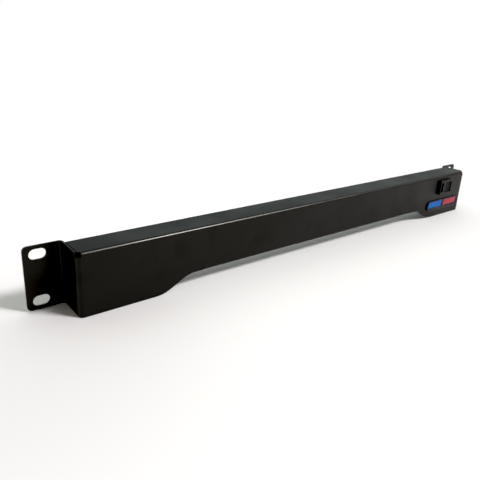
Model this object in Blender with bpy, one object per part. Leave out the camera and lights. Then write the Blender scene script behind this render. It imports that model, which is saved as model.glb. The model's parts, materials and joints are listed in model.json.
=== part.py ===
"""Rack power strip: a folded steel 1U housing with a rocker switch and a badge in front,
eight outlets and a fused inlet behind, and the bus bars and wires that join them.

Axes: +X to the right seen from the front, +Y from the front into the rack, +Z up. The origin lies
under the housing, halfway between the front face and the rear faces of the rack ears, at the height
of the lowest edge.
"""

from math import asin, copysign, cos, pi, radians, sin, tan

import bmesh
import bpy
from mathutils import Vector

MM = 0.001
GAP = 0.3 * MM  # clearance between pieces that touch on the real object
CORNER_STEPS = 3
ROUND_STEPS = 24

# Folded sheet
SHEET = 1.2 * MM
BEND_RADIUS = 2.0 * MM  # outside of the bends that run along the housing
BEND_STEPS = 6
MID_RADIUS = BEND_RADIUS - SHEET / 2
QUARTER = pi / 2
BEND_LENGTH = MID_RADIUS * QUARTER
SIDE_RADIUS = 3.0 * MM  # outside of the upright bends at both edges of the side walls
SIDE_MID_RADIUS = SIDE_RADIUS - SHEET / 2
SIDE_BEND_LENGTH = SIDE_MID_RADIUS * QUARTER

# Front panel
PANEL_WIDTH = 482.6 * MM  # 19 inches over the ears
PANEL_HEIGHT = 43.66 * MM
BODY_WIDTH = 435.0 * MM
BODY_DEPTH = 26.9 * MM
FRONT_Y = -BODY_DEPTH / 2
REAR_Y = BODY_DEPTH / 2
FRONT_MID_Y = FRONT_Y + SHEET / 2
TOP_FLANGE_DEPTH = 22.0 * MM
FLANGE_END_GAP = 1.7 * MM  # from the outside of a side wall to the end of the top flange
NOTCH_WIDTH = 3.1 * MM  # relief where the top and side bends meet, in the front face
NOTCH_HEIGHT = 2.7 * MM
NOTCH_MARGIN = 0.2 * MM  # past each bend
EAR_CORNER = 3.0 * MM
SLOT_LENGTH = 10.8 * MM
SLOT_HEIGHT = 7.0 * MM
SLOT_X = 232.15 * MM
SLOT_SPACING = 31.75 * MM

# Lower edge of the front panel: raised between two feet, with a flange turned back along the middle
RAISED_Z = 10.7 * MM
RAISED_HALF = 132.75 * MM
LOWER_RADIUS = 32.0 * MM  # where the edge leaves the ground
UPPER_RADIUS = 20.0 * MM  # where it meets the raised middle
FOOT_SLOPE = radians(28)
FOOT_STEPS = 6
RETURN_Z = RAISED_Z - 0.6 * MM  # underside of the flange
RETURN_HALF = 125.0 * MM
RETURN_DEPTH = 12.0 * MM
RELIEF_WIDTH = 0.8 * MM
RELIEF_Z = 13.0 * MM
MID_HEIGHT = PANEL_HEIGHT / 2

# Rear cover
COVER_HALF = BODY_WIDTH / 2 - SHEET - GAP
COVER_BOTTOM = RETURN_Z + SHEET + GAP
COVER_TOP = PANEL_HEIGHT - SHEET - GAP
COVER_FRONT_Y = -10.0 * MM
COVER_LIP_Y = 2.0 * MM
COVER_FLOOR = COVER_BOTTOM + SHEET
BLANK_CORNER = 1.0 * MM
SCREW_XS = [x * MM for x in (-115.0, -42.0, 42.0, 115.0)]
SCREW_Y = -6.45 * MM
SCREW_SHANK = 1.2 * MM  # radius
SCREW_HEAD = 2.75 * MM
SCREW_HEAD_HEIGHT = 2.0 * MM
SCREW_DOME = 1.3 * MM  # height of the head's rounded part
SCREW_CROWN = 0.6  # flat end of the dome, as a share of the head's radius
SCREW_SOCKET = (2.0 * MM, 1.2 * MM)  # across flats, depth
SCREW_TOP = 15.0 * MM

# Outlets
REAR_ROW_Z = 27.2 * MM
OUTLET_COUNT = 8
OUTLET_PITCH = 42.0 * MM
FIRST_OUTLET_X = -189.0 * MM
OUTLET_XS = [FIRST_OUTLET_X + i * OUTLET_PITCH for i in range(OUTLET_COUNT)]
OUTLET_FLANGE = (33.0 * MM, 25.4 * MM)
OUTLET_BODY = (30.4 * MM, 23.0 * MM)
OUTLET_MOAT = (28.3 * MM, 20.7 * MM)
OUTLET_BLOCK = (24.0 * MM, 16.3 * MM)
FLANGE_FRONT = 2.55 * MM
MOAT_DEPTH = 17.0 * MM
OUTLET_BACK = -18.2 * MM
KEY_CORNER = 4.0 * MM
CONTACT_SPACING = 7.0 * MM
LINE_CONTACT_Z = -2.0 * MM
EARTH_CONTACT_Z = 2.0 * MM
CONTACT_SLOT = (3.4 * MM, 4.8 * MM)

# Bus bars
BAR_THICKNESS = 0.8 * MM
BAR_HEIGHT = 5.0 * MM
BAR_OFFSET = 8.5 * MM  # middle of a bar from the middle of the outlets
BAR_LEFT = -205.0 * MM
BAR_RIGHT = 121.0 * MM
BAR_LEG = 3.0 * MM
BAR_NEAR_Y = -5.9 * MM
BAR_FAR_Y = -8.3 * MM
TONGUE_THICKNESS = 0.6 * MM
TONGUE_HEIGHT = 4.0 * MM
TONGUE_TIP_Y = 11.0 * MM

# Insulation sheet, between the bus bars and the front panel
CARD_THICKNESS = 0.4 * MM
CARD_STANDOFF = 0.75 * MM  # from the front panel's inside to the sheet's back
CARD_MARGIN = 2.0 * MM  # past the ends of the bus bars
CARD_EDGE_GAP = 0.8 * MM

# Fused inlet
INLET_X = 148.0 * MM
INLET_FLANGE = (46.0 * MM, 25.4 * MM)
INLET_BODY = (43.0 * MM, 23.0 * MM)
INLET_BACK = -20.45 * MM
CAVITY = (24.5 * MM, 16.7 * MM)
CAVITY_X = 6.5 * MM  # to the right of the inlet's middle seen from behind
CAVITY_FLOOR = -15.45 * MM
BAY = (8.6 * MM, 21.8 * MM)
BAY_X = -14.5 * MM
BAY_FLOOR = -13.5 * MM
PIN = (2.0 * MM, 4.0 * MM)
PIN_TIP = 0.5 * MM
PIN_TAIL = -21.45 * MM
TRAY_SLACK = 0.4 * MM
TRAY_FLOOR = 0.8 * MM
GRIP = (5.6 * MM, 4.0 * MM)
FUSE_RADIUS = 2.6 * MM
FUSE_LENGTH = 19.4 * MM
FUSE_CAP_LENGTH = 4.7 * MM
FUSE_Z = -7.0 * MM  # behind the rear plane, seen from behind
FUSE_POCKET_DEPTH = 6.2 * MM

# Rocker switch
SWITCH_X = 181.0 * MM
SWITCH_Z = 31.3 * MM
BEZEL = (21.0 * MM, 15.0 * MM)
BEZEL_PROUD = 3.0 * MM
SWITCH_BODY = (19.5 * MM, 13.0 * MM)
SWITCH_WELL = (17.9 * MM, 11.1 * MM)
WELL_FLOOR = -15.75 * MM
SWITCH_BACK = -16.95 * MM
ROCKER_TILT = radians(7)
ROCKER_RADIUS = 8.61 * MM  # of the rocker's ends, about the pivot
ROCKER_END = radians(26.6)  # from the X axis to the ends of the rocker's face
ROCKER_SKIRT = radians(12)
ROCKER_WIDTH = 10.5 * MM
ROCKER_SINK = 0.7 * MM  # of the pressed half below the bezel
ROCKER_POST = 5.0 * MM
ROCKER_EDGE = 0.35 * MM  # rounding of its edges
TRUNNION_RADIUS = 1.2 * MM
TRUNNION_HALF = 6.0 * MM
PLUNGER_TIP = 9.0 * MM
PLUNGER_HEAD = (1.3 * MM, 1.6 * MM)  # radius, length
PLUNGER_STEM = 0.6 * MM
PLUNGER_STEPS = 12
SPRING_WIRE = 0.15 * MM
SPRING_RADIUS = 1.05 * MM
SPRING_TURNS = 3
SPRING_STEPS = 10  # in each turn
LEVER_DEPTH = 9.6 * MM  # from the rocker's pivot to the lever's
LEVER_RATIO = 0.8  # turn of the lever for each turn of the rocker
LEVER_TILT = LEVER_RATIO * ROCKER_TILT
LEVER_HALF = 6.5 * MM
LEVER_THICKNESS = 0.6 * MM
LEVER_WIDTH = 4.0 * MM
TERMINAL_THICKNESS = 0.8 * MM
TERMINAL_WIDTH = 4.8 * MM
TERMINAL_END_Y = 9.0 * MM
TERMINAL_SLACK = 0.05 * MM
LOAD_TERMINAL_X = 6.0 * MM

ROCKER_FACE = ROCKER_RADIUS * (sin(ROCKER_END) - cos(ROCKER_END) * tan(ROCKER_TILT))
PIVOT_Y = FRONT_Y - BEZEL_PROUD + ROCKER_SINK + ROCKER_FACE * cos(ROCKER_TILT)
LEVER_Y = PIVOT_Y + LEVER_DEPTH
ROCKER_REACH = ROCKER_RADIUS * sin(ROCKER_END + ROCKER_TILT) - ROCKER_EDGE * sin(2 * ROCKER_TILT)
OVERHANG = ROCKER_REACH - (PIVOT_Y - FRONT_Y)  # of the raised end past the front face

# Badge
BADGE_X = 183.0 * MM
BADGE_Z = 12.5 * MM
BADGE = (58.0 * MM, 11.0 * MM)
BADGE_FILM = 0.1 * MM
BADGE_FRONT = 1.2 * MM

# Earth bond, at the left end of the cover's floor
BOND_X = -210.3 * MM
BOND_Y = 1.0 * MM
STUD_RADIUS = 2.0 * MM
STUD_LENGTH = 7.8 * MM
WASHER_RADIUS = 4.0 * MM
WASHER_THICKNESS = 0.8 * MM
TAG_REACH = 7.5 * MM
TAG_HALF = 1.5 * MM
TAG_STEPS = 16
NUT = (7.0 * MM, 3.2 * MM)  # across flats, height
WIRE_RADIUS = 1.1 * MM
WIRE_STANDOFF = 1.0 * MM  # from a bar's end to the end of its wire

FRONT_FACING = (QUARTER, 0.0, 0.0)  # local x right, y up and z outwards, for a viewer in front
REAR_FACING = (QUARTER, 0.0, pi)  # the same, for a viewer behind
EDGEWISE = (QUARTER, 0.0, QUARTER)  # local x to +Y, y to +Z and z to +X
UPRIGHT = (0.0, 0.0, 0.0)


def clear_scene():
    for obj in list(bpy.data.objects):
        bpy.data.objects.remove(obj, do_unlink=True)


def finish_of(name, colour, roughness, metallic=0.0):
    """A Principled material."""
    material = bpy.data.materials.new(name)
    material.use_nodes = True
    shader = material.node_tree.nodes["Principled BSDF"]
    shader.inputs["Base Color"].default_value = (*colour, 1.0)
    shader.inputs["Roughness"].default_value = roughness
    shader.inputs["Metallic"].default_value = metallic
    return material


def add_object(name, data, material, location=(0.0, 0.0, 0.0), rotation=UPRIGHT):
    obj = bpy.data.objects.new(name, data)
    bpy.context.collection.objects.link(obj)
    obj.location = location
    obj.rotation_euler = rotation
    if not data.materials:
        data.materials.append(material)
    return obj


def mesh_from(name, bm, smooth=False):
    bmesh.ops.recalc_face_normals(bm, faces=bm.faces[:])
    mesh = bpy.data.meshes.new(name)
    bm.to_mesh(mesh)
    bm.free()
    if smooth:
        mesh.shade_smooth()
        mesh.set_sharp_from_angle(angle=radians(35))
    return mesh


# Outlines


def arc(centre, radius, start, end, steps):
    """Points of an arc, both ends included."""
    angles = [start + (end - start) * i / steps for i in range(steps + 1)]
    return [(centre[0] + radius * cos(a), centre[1] + radius * sin(a)) for a in angles]


def rounded_rectangle(width, height, radii, centre=(0.0, 0.0)):
    """Anticlockwise outline, with one radius, or one for each corner from the lower right onwards."""
    if not isinstance(radii, (tuple, list)):
        radii = (radii,) * 4
    points = []
    for quarter, radius in enumerate(radii):
        across = 1 if quarter in (0, 1) else -1
        up = 1 if quarter in (1, 2) else -1
        middle = (
            centre[0] + across * (width / 2 - radius),
            centre[1] + up * (height / 2 - radius),
        )
        start = QUARTER * (quarter - 1)
        points += arc(middle, radius, start, start + QUARTER, CORNER_STEPS)
    return points


def rectangle(width, height, centre=(0.0, 0.0)):
    x, y = centre
    w, h = width / 2, height / 2
    return [(x - w, y - h), (x + w, y - h), (x + w, y + h), (x - w, y + h)]


def circle(radius, centre=(0.0, 0.0), steps=ROUND_STEPS):
    return arc(centre, radius, 0.0, 2 * pi, steps)[:-1]


def hexagon(across_flats, steps=ROUND_STEPS):
    """A hexagon drawn with as many points as a circle, so that the two can be joined."""
    points = []
    for i in range(steps):
        angle = 2 * pi * i / steps
        off_flat = (angle + pi / 6) % (pi / 3) - pi / 6
        reach = across_flats / 2 / cos(off_flat)
        points.append((reach * cos(angle), reach * sin(angle)))
    return points


# Solids built from rings of points


def add_ring(bm, outline, depth):
    return [bm.verts.new((x, y, depth)) for x, y in outline]


def add_stack(bm, levels):
    """Rings of equally many points at their depths, each joined to the next by walls."""
    rings = [add_ring(bm, outline, depth) for outline, depth in levels]
    for lower, upper in zip(rings, rings[1:]):
        for i in range(len(lower)):
            j = (i + 1) % len(lower)
            bm.faces.new((lower[i], lower[j], upper[j], upper[i]))
    return rings


def add_cap(bm, outer, *holes):
    """A flat face across a ring, with holes. It is filled in millimetres, where fine detail is safe."""
    edges = []
    for ring in (outer, *holes):
        for pair in zip(ring, ring[1:] + ring[:1]):
            edges.append(bm.edges.get(pair) or bm.edges.new(pair))
    for vertex in bm.verts:
        vertex.co /= MM
    bmesh.ops.triangle_fill(bm, edges=edges, use_beauty=True)
    for vertex in bm.verts:
        vertex.co *= MM


def closed_stack(levels):
    """A solid from rings at their depths, with both ends closed."""
    bm = bmesh.new()
    rings = add_stack(bm, levels)
    add_cap(bm, rings[0])
    add_cap(bm, rings[-1])
    return bm


def pierced_stack(levels, holes):
    """A solid from rings at their depths, with straight holes between its two end faces."""
    bm = bmesh.new()
    rings = add_stack(bm, levels)
    first, last = levels[0][1], levels[-1][1]
    tunnels = [add_stack(bm, [(hole, first), (hole, last)]) for hole in holes]
    add_cap(bm, rings[0], *[tunnel[0] for tunnel in tunnels])
    add_cap(bm, rings[-1], *[tunnel[-1] for tunnel in tunnels])
    return bm


def extrusion(outline, low, high, holes=()):
    return pierced_stack([(outline, low), (outline, high)], holes)


def combine(target, tool, operation):
    """Adds a Boolean of the target with a tool that is left out of the object itself."""
    modifier = target.modifiers.new(operation.title(), "BOOLEAN")
    modifier.operation = operation
    modifier.object = tool
    modifier.solver = "EXACT"
    tool.hide_render = True
    tool.display_type = "WIRE"


# Folded sheet metal


def follow(legs, distance):
    """The point and heading at a distance along a folded strip.

    Each leg is a straight length and the radius of the quarter bend after it, at the middle of the
    sheet. The radius is negative for a bend the other way, and 0 for none.
    """
    point, heading = Vector((0.0, 0.0)), 0.0
    for straight, radius in legs:
        step = min(distance, straight)
        point += step * Vector((cos(heading), sin(heading)))
        distance -= step
        if distance <= 0 or not radius:
            break
        length = abs(radius) * QUARTER
        centre = point + radius * Vector((-sin(heading), cos(heading)))
        heading += copysign(QUARTER, radius) * min(distance / length, 1.0)
        point = centre - radius * Vector((-sin(heading), cos(heading)))
        distance -= length
        if distance <= 0:
            break
    return point, heading


def bend_lines(legs):
    """Distances along the legs at which the flat blank is creased."""
    lines, start = [], 0.0
    for straight, radius in legs:
        start += straight
        if radius:
            length = abs(radius) * QUARTER
            lines += [start + length * i / BEND_STEPS for i in range(BEND_STEPS + 1)]
            start += length
    return lines


def flat_blank(outline, holes, creases_u, creases_v):
    """The blank as a flat mesh in millimetres, cut along its crease lines."""
    blank = bmesh.new()
    edges = []
    for loop in (outline, *holes):
        ring = [blank.verts.new((u / MM, v / MM, 0.0)) for u, v in loop]
        edges += [blank.edges.new(pair) for pair in zip(ring, ring[1:] + ring[:1])]
    bmesh.ops.triangle_fill(blank, edges=edges, use_beauty=True)
    for direction, creases in ((Vector((1, 0, 0)), creases_u), (Vector((0, 1, 0)), creases_v)):
        for crease in creases:
            bmesh.ops.bisect_plane(
                blank,
                geom=blank.verts[:] + blank.edges[:] + blank.faces[:],
                dist=1e-4,
                plane_co=direction * crease / MM,
                plane_no=direction,
            )
    return blank


def folded_sheet(blank, fold):
    """Folds a flat blank and gives it the sheet's thickness. fold gives (u, v)'s point and normal."""
    sheet = bmesh.new()
    outside, inside = {}, {}
    for vertex in blank.verts:
        point, normal = fold(vertex.co.x * MM, vertex.co.y * MM)
        outside[vertex] = sheet.verts.new(point + normal * SHEET / 2)
        inside[vertex] = sheet.verts.new(point - normal * SHEET / 2)
    for face in blank.faces:
        sheet.faces.new([outside[v] for v in face.verts])
        sheet.faces.new([inside[v] for v in reversed(face.verts)])
    for edge in blank.edges:
        if edge.is_boundary:
            a, b = edge.verts
            sheet.faces.new((outside[a], outside[b], inside[b], inside[a]))
    blank.free()
    return sheet


# Front panel: front face, top flange, side walls and ears from one blank. In the blank, u runs
# across and v up, and both equal x and z on the front face.

SIDE_LEGS = [
    (BODY_WIDTH / 2 - SIDE_RADIUS, SIDE_MID_RADIUS),
    (BODY_DEPTH - 2 * SIDE_RADIUS, -SIDE_MID_RADIUS),
    (PANEL_WIDTH, 0.0),
]
TOP_LEGS = [(PANEL_HEIGHT - BEND_RADIUS, MID_RADIUS), (TOP_FLANGE_DEPTH, 0.0)]
RETURN_LEGS = [(MID_HEIGHT - RETURN_Z - BEND_RADIUS, MID_RADIUS), (RETURN_DEPTH, 0.0)]

EAR_START_X = BODY_WIDTH / 2 - SHEET + SIDE_RADIUS
EAR_START_U = SIDE_LEGS[0][0] + SIDE_LEGS[1][0] + 2 * SIDE_BEND_LENGTH
TOP_FOLD_V = TOP_LEGS[0][0]
RETURN_FOLD_V = RETURN_Z + BEND_RADIUS
FLANGE_HALF = BODY_WIDTH / 2 - FLANGE_END_GAP


def ear_u(x):
    """Where a point of an ear, at x, lies across the blank."""
    return EAR_START_U + x - EAR_START_X


def fold_front_panel(u, v):
    if abs(u) <= FLANGE_HALF + GAP and v > TOP_FOLD_V:
        (z, y), heading = follow(TOP_LEGS, v)
        return Vector((u, FRONT_MID_Y + y, z)), Vector((0, -cos(heading), sin(heading)))
    if abs(u) <= RETURN_HALF + GAP and v < RETURN_FOLD_V:
        (down, y), heading = follow(RETURN_LEGS, MID_HEIGHT - v)
        normal = Vector((0, -cos(heading), -sin(heading)))
        return Vector((u, FRONT_MID_Y + y, MID_HEIGHT - down)), normal
    side = copysign(1, u)
    (x, y), heading = follow(SIDE_LEGS, abs(u))
    return Vector((side * x, FRONT_MID_Y + y, v)), Vector((side * sin(heading), -cos(heading), 0))


def foot_curve():
    """The right foot's edge, from the ground up to the raised middle: two arcs joined by a slope."""
    both_radii = LOWER_RADIUS + UPPER_RADIUS
    slope_rise = RAISED_Z - both_radii * (1 - cos(FOOT_SLOPE))
    foot_x = RAISED_HALF + both_radii * sin(FOOT_SLOPE) + slope_rise / tan(FOOT_SLOPE)
    lower_centre = (foot_x, LOWER_RADIUS)
    upper_centre = (RAISED_HALF, RAISED_Z - UPPER_RADIUS)
    lower = arc(lower_centre, LOWER_RADIUS, -QUARTER, -QUARTER - FOOT_SLOPE, FOOT_STEPS)
    upper = arc(upper_centre, UPPER_RADIUS, QUARTER - FOOT_SLOPE, QUARTER, FOOT_STEPS)
    return lower + upper


def front_panel_half_outline():
    """The right half of the blank's edge, from the top flange round to the return flange."""
    notch_u = BODY_WIDTH / 2 - NOTCH_WIDTH
    notch_low = PANEL_HEIGHT - NOTCH_HEIGHT
    notch_top = TOP_FOLD_V + BEND_LENGTH + NOTCH_MARGIN
    notch_side = SIDE_LEGS[0][0] + SIDE_BEND_LENGTH + NOTCH_MARGIN
    flange_end = TOP_FOLD_V + BEND_LENGTH + TOP_FLANGE_DEPTH - BEND_RADIUS
    return_end = RETURN_FOLD_V - BEND_LENGTH - RETURN_DEPTH + BEND_RADIUS
    ear_end = ear_u(PANEL_WIDTH / 2)
    ear_in = ear_end - EAR_CORNER
    top_corner = (FLANGE_HALF - BLANK_CORNER, flange_end - BLANK_CORNER)
    points = arc(top_corner, BLANK_CORNER, QUARTER, 0.0, CORNER_STEPS)
    points += [(FLANGE_HALF, notch_top), (notch_u, notch_top), (notch_u, notch_low)]
    points += [(notch_side, notch_low), (notch_side, PANEL_HEIGHT)]
    points += arc((ear_in, PANEL_HEIGHT - EAR_CORNER), EAR_CORNER, QUARTER, 0.0, CORNER_STEPS + 2)
    points += arc((ear_in, EAR_CORNER), EAR_CORNER, 0.0, -QUARTER, CORNER_STEPS + 2)
    points += foot_curve()
    points += [(RETURN_HALF + RELIEF_WIDTH, RAISED_Z), (RETURN_HALF + RELIEF_WIDTH, RELIEF_Z)]
    points += [(RETURN_HALF, RELIEF_Z)]
    lower_corner = (RETURN_HALF - BLANK_CORNER, return_end + BLANK_CORNER)
    points += arc(lower_corner, BLANK_CORNER, 0.0, -QUARTER, CORNER_STEPS)
    return points


def rack_slot(u, v):
    """A horizontal slot with round ends."""
    reach = (SLOT_LENGTH - SLOT_HEIGHT) / 2
    right = arc((u + reach, v), SLOT_HEIGHT / 2, -QUARTER, QUARTER, 8)
    left = arc((u - reach, v), SLOT_HEIGHT / 2, QUARTER, 3 * QUARTER, 8)
    return right + left


def front_panel_holes():
    holes = []
    for side in (-1, 1):
        for end in (-1, 1):
            holes.append(rack_slot(side * ear_u(SLOT_X), MID_HEIGHT + end * SLOT_SPACING / 2))
    width, height = (size + 2 * GAP for size in SWITCH_BODY)
    holes.append(rounded_rectangle(width, height, 0.5 * MM, (SWITCH_X, SWITCH_Z)))
    hole_v = RETURN_FOLD_V - BEND_LENGTH - (SCREW_Y - FRONT_Y - BEND_RADIUS)
    holes += [circle(SCREW_SHANK + 2 * GAP, (x, hole_v)) for x in SCREW_XS]
    return holes


def build_front_panel():
    right = front_panel_half_outline()
    outline = right + [(-u, v) for u, v in reversed(right)]
    across = bend_lines(SIDE_LEGS)
    up = bend_lines(TOP_LEGS) + [MID_HEIGHT - line for line in bend_lines(RETURN_LEGS)]
    blank = flat_blank(outline, front_panel_holes(), across + [-line for line in across], up)
    mesh = mesh_from("front_panel", folded_sheet(blank, fold_front_panel), smooth=True)
    add_object("front_panel", mesh, finish_of("black_powder_coat", (0.018, 0.018, 0.017), 0.5))


# Rear cover: floor, rear panel and top lip. In its blank, u equals x and v runs from the floor's
# front edge round to the lip's.

COVER_LEGS = [
    (REAR_Y - BEND_RADIUS - COVER_FRONT_Y, MID_RADIUS),
    (COVER_TOP - COVER_BOTTOM - 2 * BEND_RADIUS, MID_RADIUS),
    (REAR_Y - BEND_RADIUS - COVER_LIP_Y, 0.0),
]


def fold_rear_cover(u, v):
    (y, z), heading = follow(COVER_LEGS, v)
    point = Vector((u, COVER_FRONT_Y + y, COVER_BOTTOM + SHEET / 2 + z))
    return point, Vector((0, sin(heading), -cos(heading)))


def rear_cover_holes():
    rear_v = COVER_LEGS[0][0] + BEND_LENGTH
    row_v = rear_v + REAR_ROW_Z - COVER_BOTTOM - BEND_RADIUS
    openings = [(x, OUTLET_BODY) for x in OUTLET_XS] + [(INLET_X, INLET_BODY)]
    holes = []
    for x, (width, height) in openings:
        size = (width + 2 * GAP, height + 2 * GAP)
        holes.append(rounded_rectangle(*size, BLANK_CORNER, (x, row_v)))
    screw_v = SCREW_Y - COVER_FRONT_Y
    holes += [circle(SCREW_SHANK + GAP, (x, screw_v)) for x in SCREW_XS]
    return holes


def build_rear_cover():
    length = sum(straight for straight, _ in COVER_LEGS) + 2 * BEND_LENGTH
    outline = rounded_rectangle(2 * COVER_HALF, length, BLANK_CORNER, (0.0, length / 2))
    blank = flat_blank(outline, rear_cover_holes(), [], bend_lines(COVER_LEGS))
    mesh = mesh_from("rear_cover", folded_sheet(blank, fold_rear_cover), smooth=True)
    add_object("rear_cover", mesh, finish_of("black_cover_coat", (0.018, 0.018, 0.018), 0.5))


def build_cover_screws():
    """Button-head screws from below, through the return flange into the cover's floor."""
    head_top = RETURN_Z - GAP
    head_low = head_top - SCREW_HEAD_HEIGHT
    socket = hexagon(SCREW_SOCKET[0])
    levels = [(socket, head_low + SCREW_SOCKET[1]), (socket, head_low)]
    for step in range(CORNER_STEPS + 1):
        angle = QUARTER * step / CORNER_STEPS
        radius = SCREW_HEAD * (SCREW_CROWN + (1 - SCREW_CROWN) * sin(angle))
        levels.append((circle(radius), head_low + SCREW_DOME * (1 - cos(angle))))
    levels += [
        (circle(SCREW_HEAD), head_top),
        (circle(SCREW_SHANK), head_top),
        (circle(SCREW_SHANK), SCREW_TOP - 0.4 * MM),
        (circle(SCREW_SHANK - 0.4 * MM), SCREW_TOP),
    ]
    mesh = mesh_from("cover_screw", closed_stack(levels), smooth=True)
    steel = finish_of("zinc_screw", (0.55, 0.55, 0.54), 0.35, 1.0)
    for number, x in enumerate(SCREW_XS, 1):
        add_object(f"cover_screw_{number}", mesh, steel, (x, SCREW_Y, 0.0))


# Outlets and bus bars


def contact_places():
    """Where the live, neutral and earth contacts sit in an outlet or inlet, seen from behind."""
    return {
        "live": (-CONTACT_SPACING, LINE_CONTACT_Z),
        "neutral": (CONTACT_SPACING, LINE_CONTACT_Z),
        "earth": (0.0, EARTH_CONTACT_Z),
    }


def keyed_outline(size, radius, key, centre=(0.0, 0.0)):
    """A rounded rectangle with its two upper corners cut back further, which keys the plug."""
    return rounded_rectangle(*size, (radius, key, key, radius), centre)


def build_outlets():
    flange_rim = tuple(size - 1.0 * MM for size in OUTLET_FLANGE)
    block = keyed_outline(OUTLET_BLOCK, 1.0 * MM, KEY_CORNER)
    moat = keyed_outline(OUTLET_MOAT, 1.5 * MM, KEY_CORNER)
    body = rounded_rectangle(*OUTLET_BODY, 1.0 * MM)
    floor = FLANGE_FRONT - MOAT_DEPTH
    levels = [
        (block, FLANGE_FRONT),
        (block, floor),
        (moat, floor),
        (moat, FLANGE_FRONT),
        (rounded_rectangle(*flange_rim, 1.5 * MM), FLANGE_FRONT),
        (rounded_rectangle(*OUTLET_FLANGE, 2.0 * MM), FLANGE_FRONT - 0.6 * MM),
        (rounded_rectangle(*OUTLET_FLANGE, 2.0 * MM), GAP),
        (body, GAP),
        (body, OUTLET_BACK),
    ]
    slots = [rectangle(*CONTACT_SLOT, place) for place in contact_places().values()]
    mesh = mesh_from("outlet", pierced_stack(levels, slots))
    plastic = finish_of("outlet_plastic", (0.015, 0.015, 0.016), 0.4)
    for number, x in enumerate(OUTLET_XS, 1):
        add_object(f"outlet_{number}", mesh, plastic, (x, REAR_Y, REAR_ROW_Z), REAR_FACING)


def comb_outline(middle, leg_x, leg_end):
    """A bar with one leg for each outlet, seen from behind; the legs end at leg_end."""
    side = copysign(1, leg_end - middle)
    near = middle + side * BAR_HEIGHT / 2
    far = middle - side * BAR_HEIGHT / 2
    points = [(-BAR_RIGHT, far), (-BAR_LEFT, far), (-BAR_LEFT, near)]
    for x in OUTLET_XS:
        right = -x + leg_x + BAR_LEG / 2
        left = right - BAR_LEG
        points += [(right, near), (right, leg_end), (left, leg_end), (left, near)]
    return points + [(-BAR_RIGHT, near)]


def build_bus_bar(name, contact, middle, front_y, material):
    """A stamped bar whose tongues, one for each outlet, reach back into the contact slots."""
    x, z = contact_places()[contact]
    reach = copysign(TONGUE_HEIGHT / 2, z - middle)
    outline = comb_outline(middle, x, z + reach)
    tongue_x = x + CONTACT_SLOT[0] / 2 - GAP - TONGUE_THICKNESS / 2
    low, high = front_y - REAR_Y, front_y + BAR_THICKNESS - REAR_Y
    bm = bmesh.new()
    plate = add_stack(bm, [(outline, low), (outline, high)])
    roots = []
    for outlet_x in OUTLET_XS:
        shape = rectangle(TONGUE_THICKNESS, TONGUE_HEIGHT - 0.2 * MM, (tongue_x - outlet_x, z))
        root, tip = add_stack(bm, [(shape, high), (shape, TONGUE_TIP_Y - REAR_Y)])
        add_cap(bm, tip)
        roots.append(root)
    add_cap(bm, plate[0])
    add_cap(bm, plate[1], *roots)
    add_object(name, mesh_from(name, bm), material, (0.0, REAR_Y, REAR_ROW_Z), REAR_FACING)


def build_bus_bars():
    brass = finish_of("brass_bar", (0.72, 0.53, 0.24), 0.35, 1.0)
    build_bus_bar("live_bus_bar", "live", -BAR_OFFSET, BAR_NEAR_Y, brass)
    build_bus_bar("neutral_bus_bar", "neutral", -BAR_OFFSET, BAR_FAR_Y, brass)
    build_bus_bar("earth_bus_bar", "earth", BAR_OFFSET, BAR_NEAR_Y, brass)


def build_insulation_sheet():
    left, right = BAR_LEFT - CARD_MARGIN, BAR_RIGHT + CARD_MARGIN
    low, high = COVER_FLOOR + CARD_EDGE_GAP, COVER_TOP - SHEET - CARD_EDGE_GAP
    outline = rounded_rectangle(right - left, high - low, 2.0 * MM)
    card = finish_of("insulation_card", (0.62, 0.60, 0.52), 0.8)
    mesh = mesh_from("insulation_sheet", extrusion(outline, 0.0, CARD_THICKNESS))
    place = ((left + right) / 2, FRONT_Y + SHEET + CARD_STANDOFF, (low + high) / 2)
    add_object("insulation_sheet", mesh, card, place, FRONT_FACING)


# Fused inlet


def build_inlet_housing():
    """A flanged housing with the plug's cavity on one side and the fuse drawer's bay beside it."""
    rim = tuple(size - 1.0 * MM for size in INLET_FLANGE)
    body = rounded_rectangle(*INLET_BODY, 1.0 * MM)
    cavity = keyed_outline(CAVITY, 1.5 * MM, KEY_CORNER, (CAVITY_X, 0.0))
    bay = rounded_rectangle(*BAY, 0.6 * MM, (BAY_X, 0.0))
    pin_holes = [
        rectangle(PIN[0] + 2 * GAP, PIN[1] + 2 * GAP, (CAVITY_X + x, z))
        for x, z in contact_places().values()
    ]
    bm = bmesh.new()
    shell = add_stack(
        bm,
        [
            (rounded_rectangle(*rim, 1.5 * MM), FLANGE_FRONT),
            (rounded_rectangle(*INLET_FLANGE, 2.0 * MM), FLANGE_FRONT - 0.6 * MM),
            (rounded_rectangle(*INLET_FLANGE, 2.0 * MM), GAP),
            (body, GAP),
            (body, INLET_BACK),
        ],
    )
    well = add_stack(bm, [(cavity, FLANGE_FRONT), (cavity, CAVITY_FLOOR)])
    pocket = add_stack(bm, [(bay, FLANGE_FRONT), (bay, BAY_FLOOR)])
    tunnels = [add_stack(bm, [(hole, CAVITY_FLOOR), (hole, INLET_BACK)]) for hole in pin_holes]
    add_cap(bm, shell[0], well[0], pocket[0])
    add_cap(bm, well[-1], *[tunnel[0] for tunnel in tunnels])
    add_cap(bm, pocket[-1])
    add_cap(bm, shell[-1], *[tunnel[-1] for tunnel in tunnels])
    plastic = finish_of("inlet_plastic", (0.014, 0.014, 0.015), 0.35)
    place = (INLET_X, REAR_Y, REAR_ROW_Z)
    add_object("inlet_housing", mesh_from("inlet_housing", bm), plastic, place, REAR_FACING)


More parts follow.
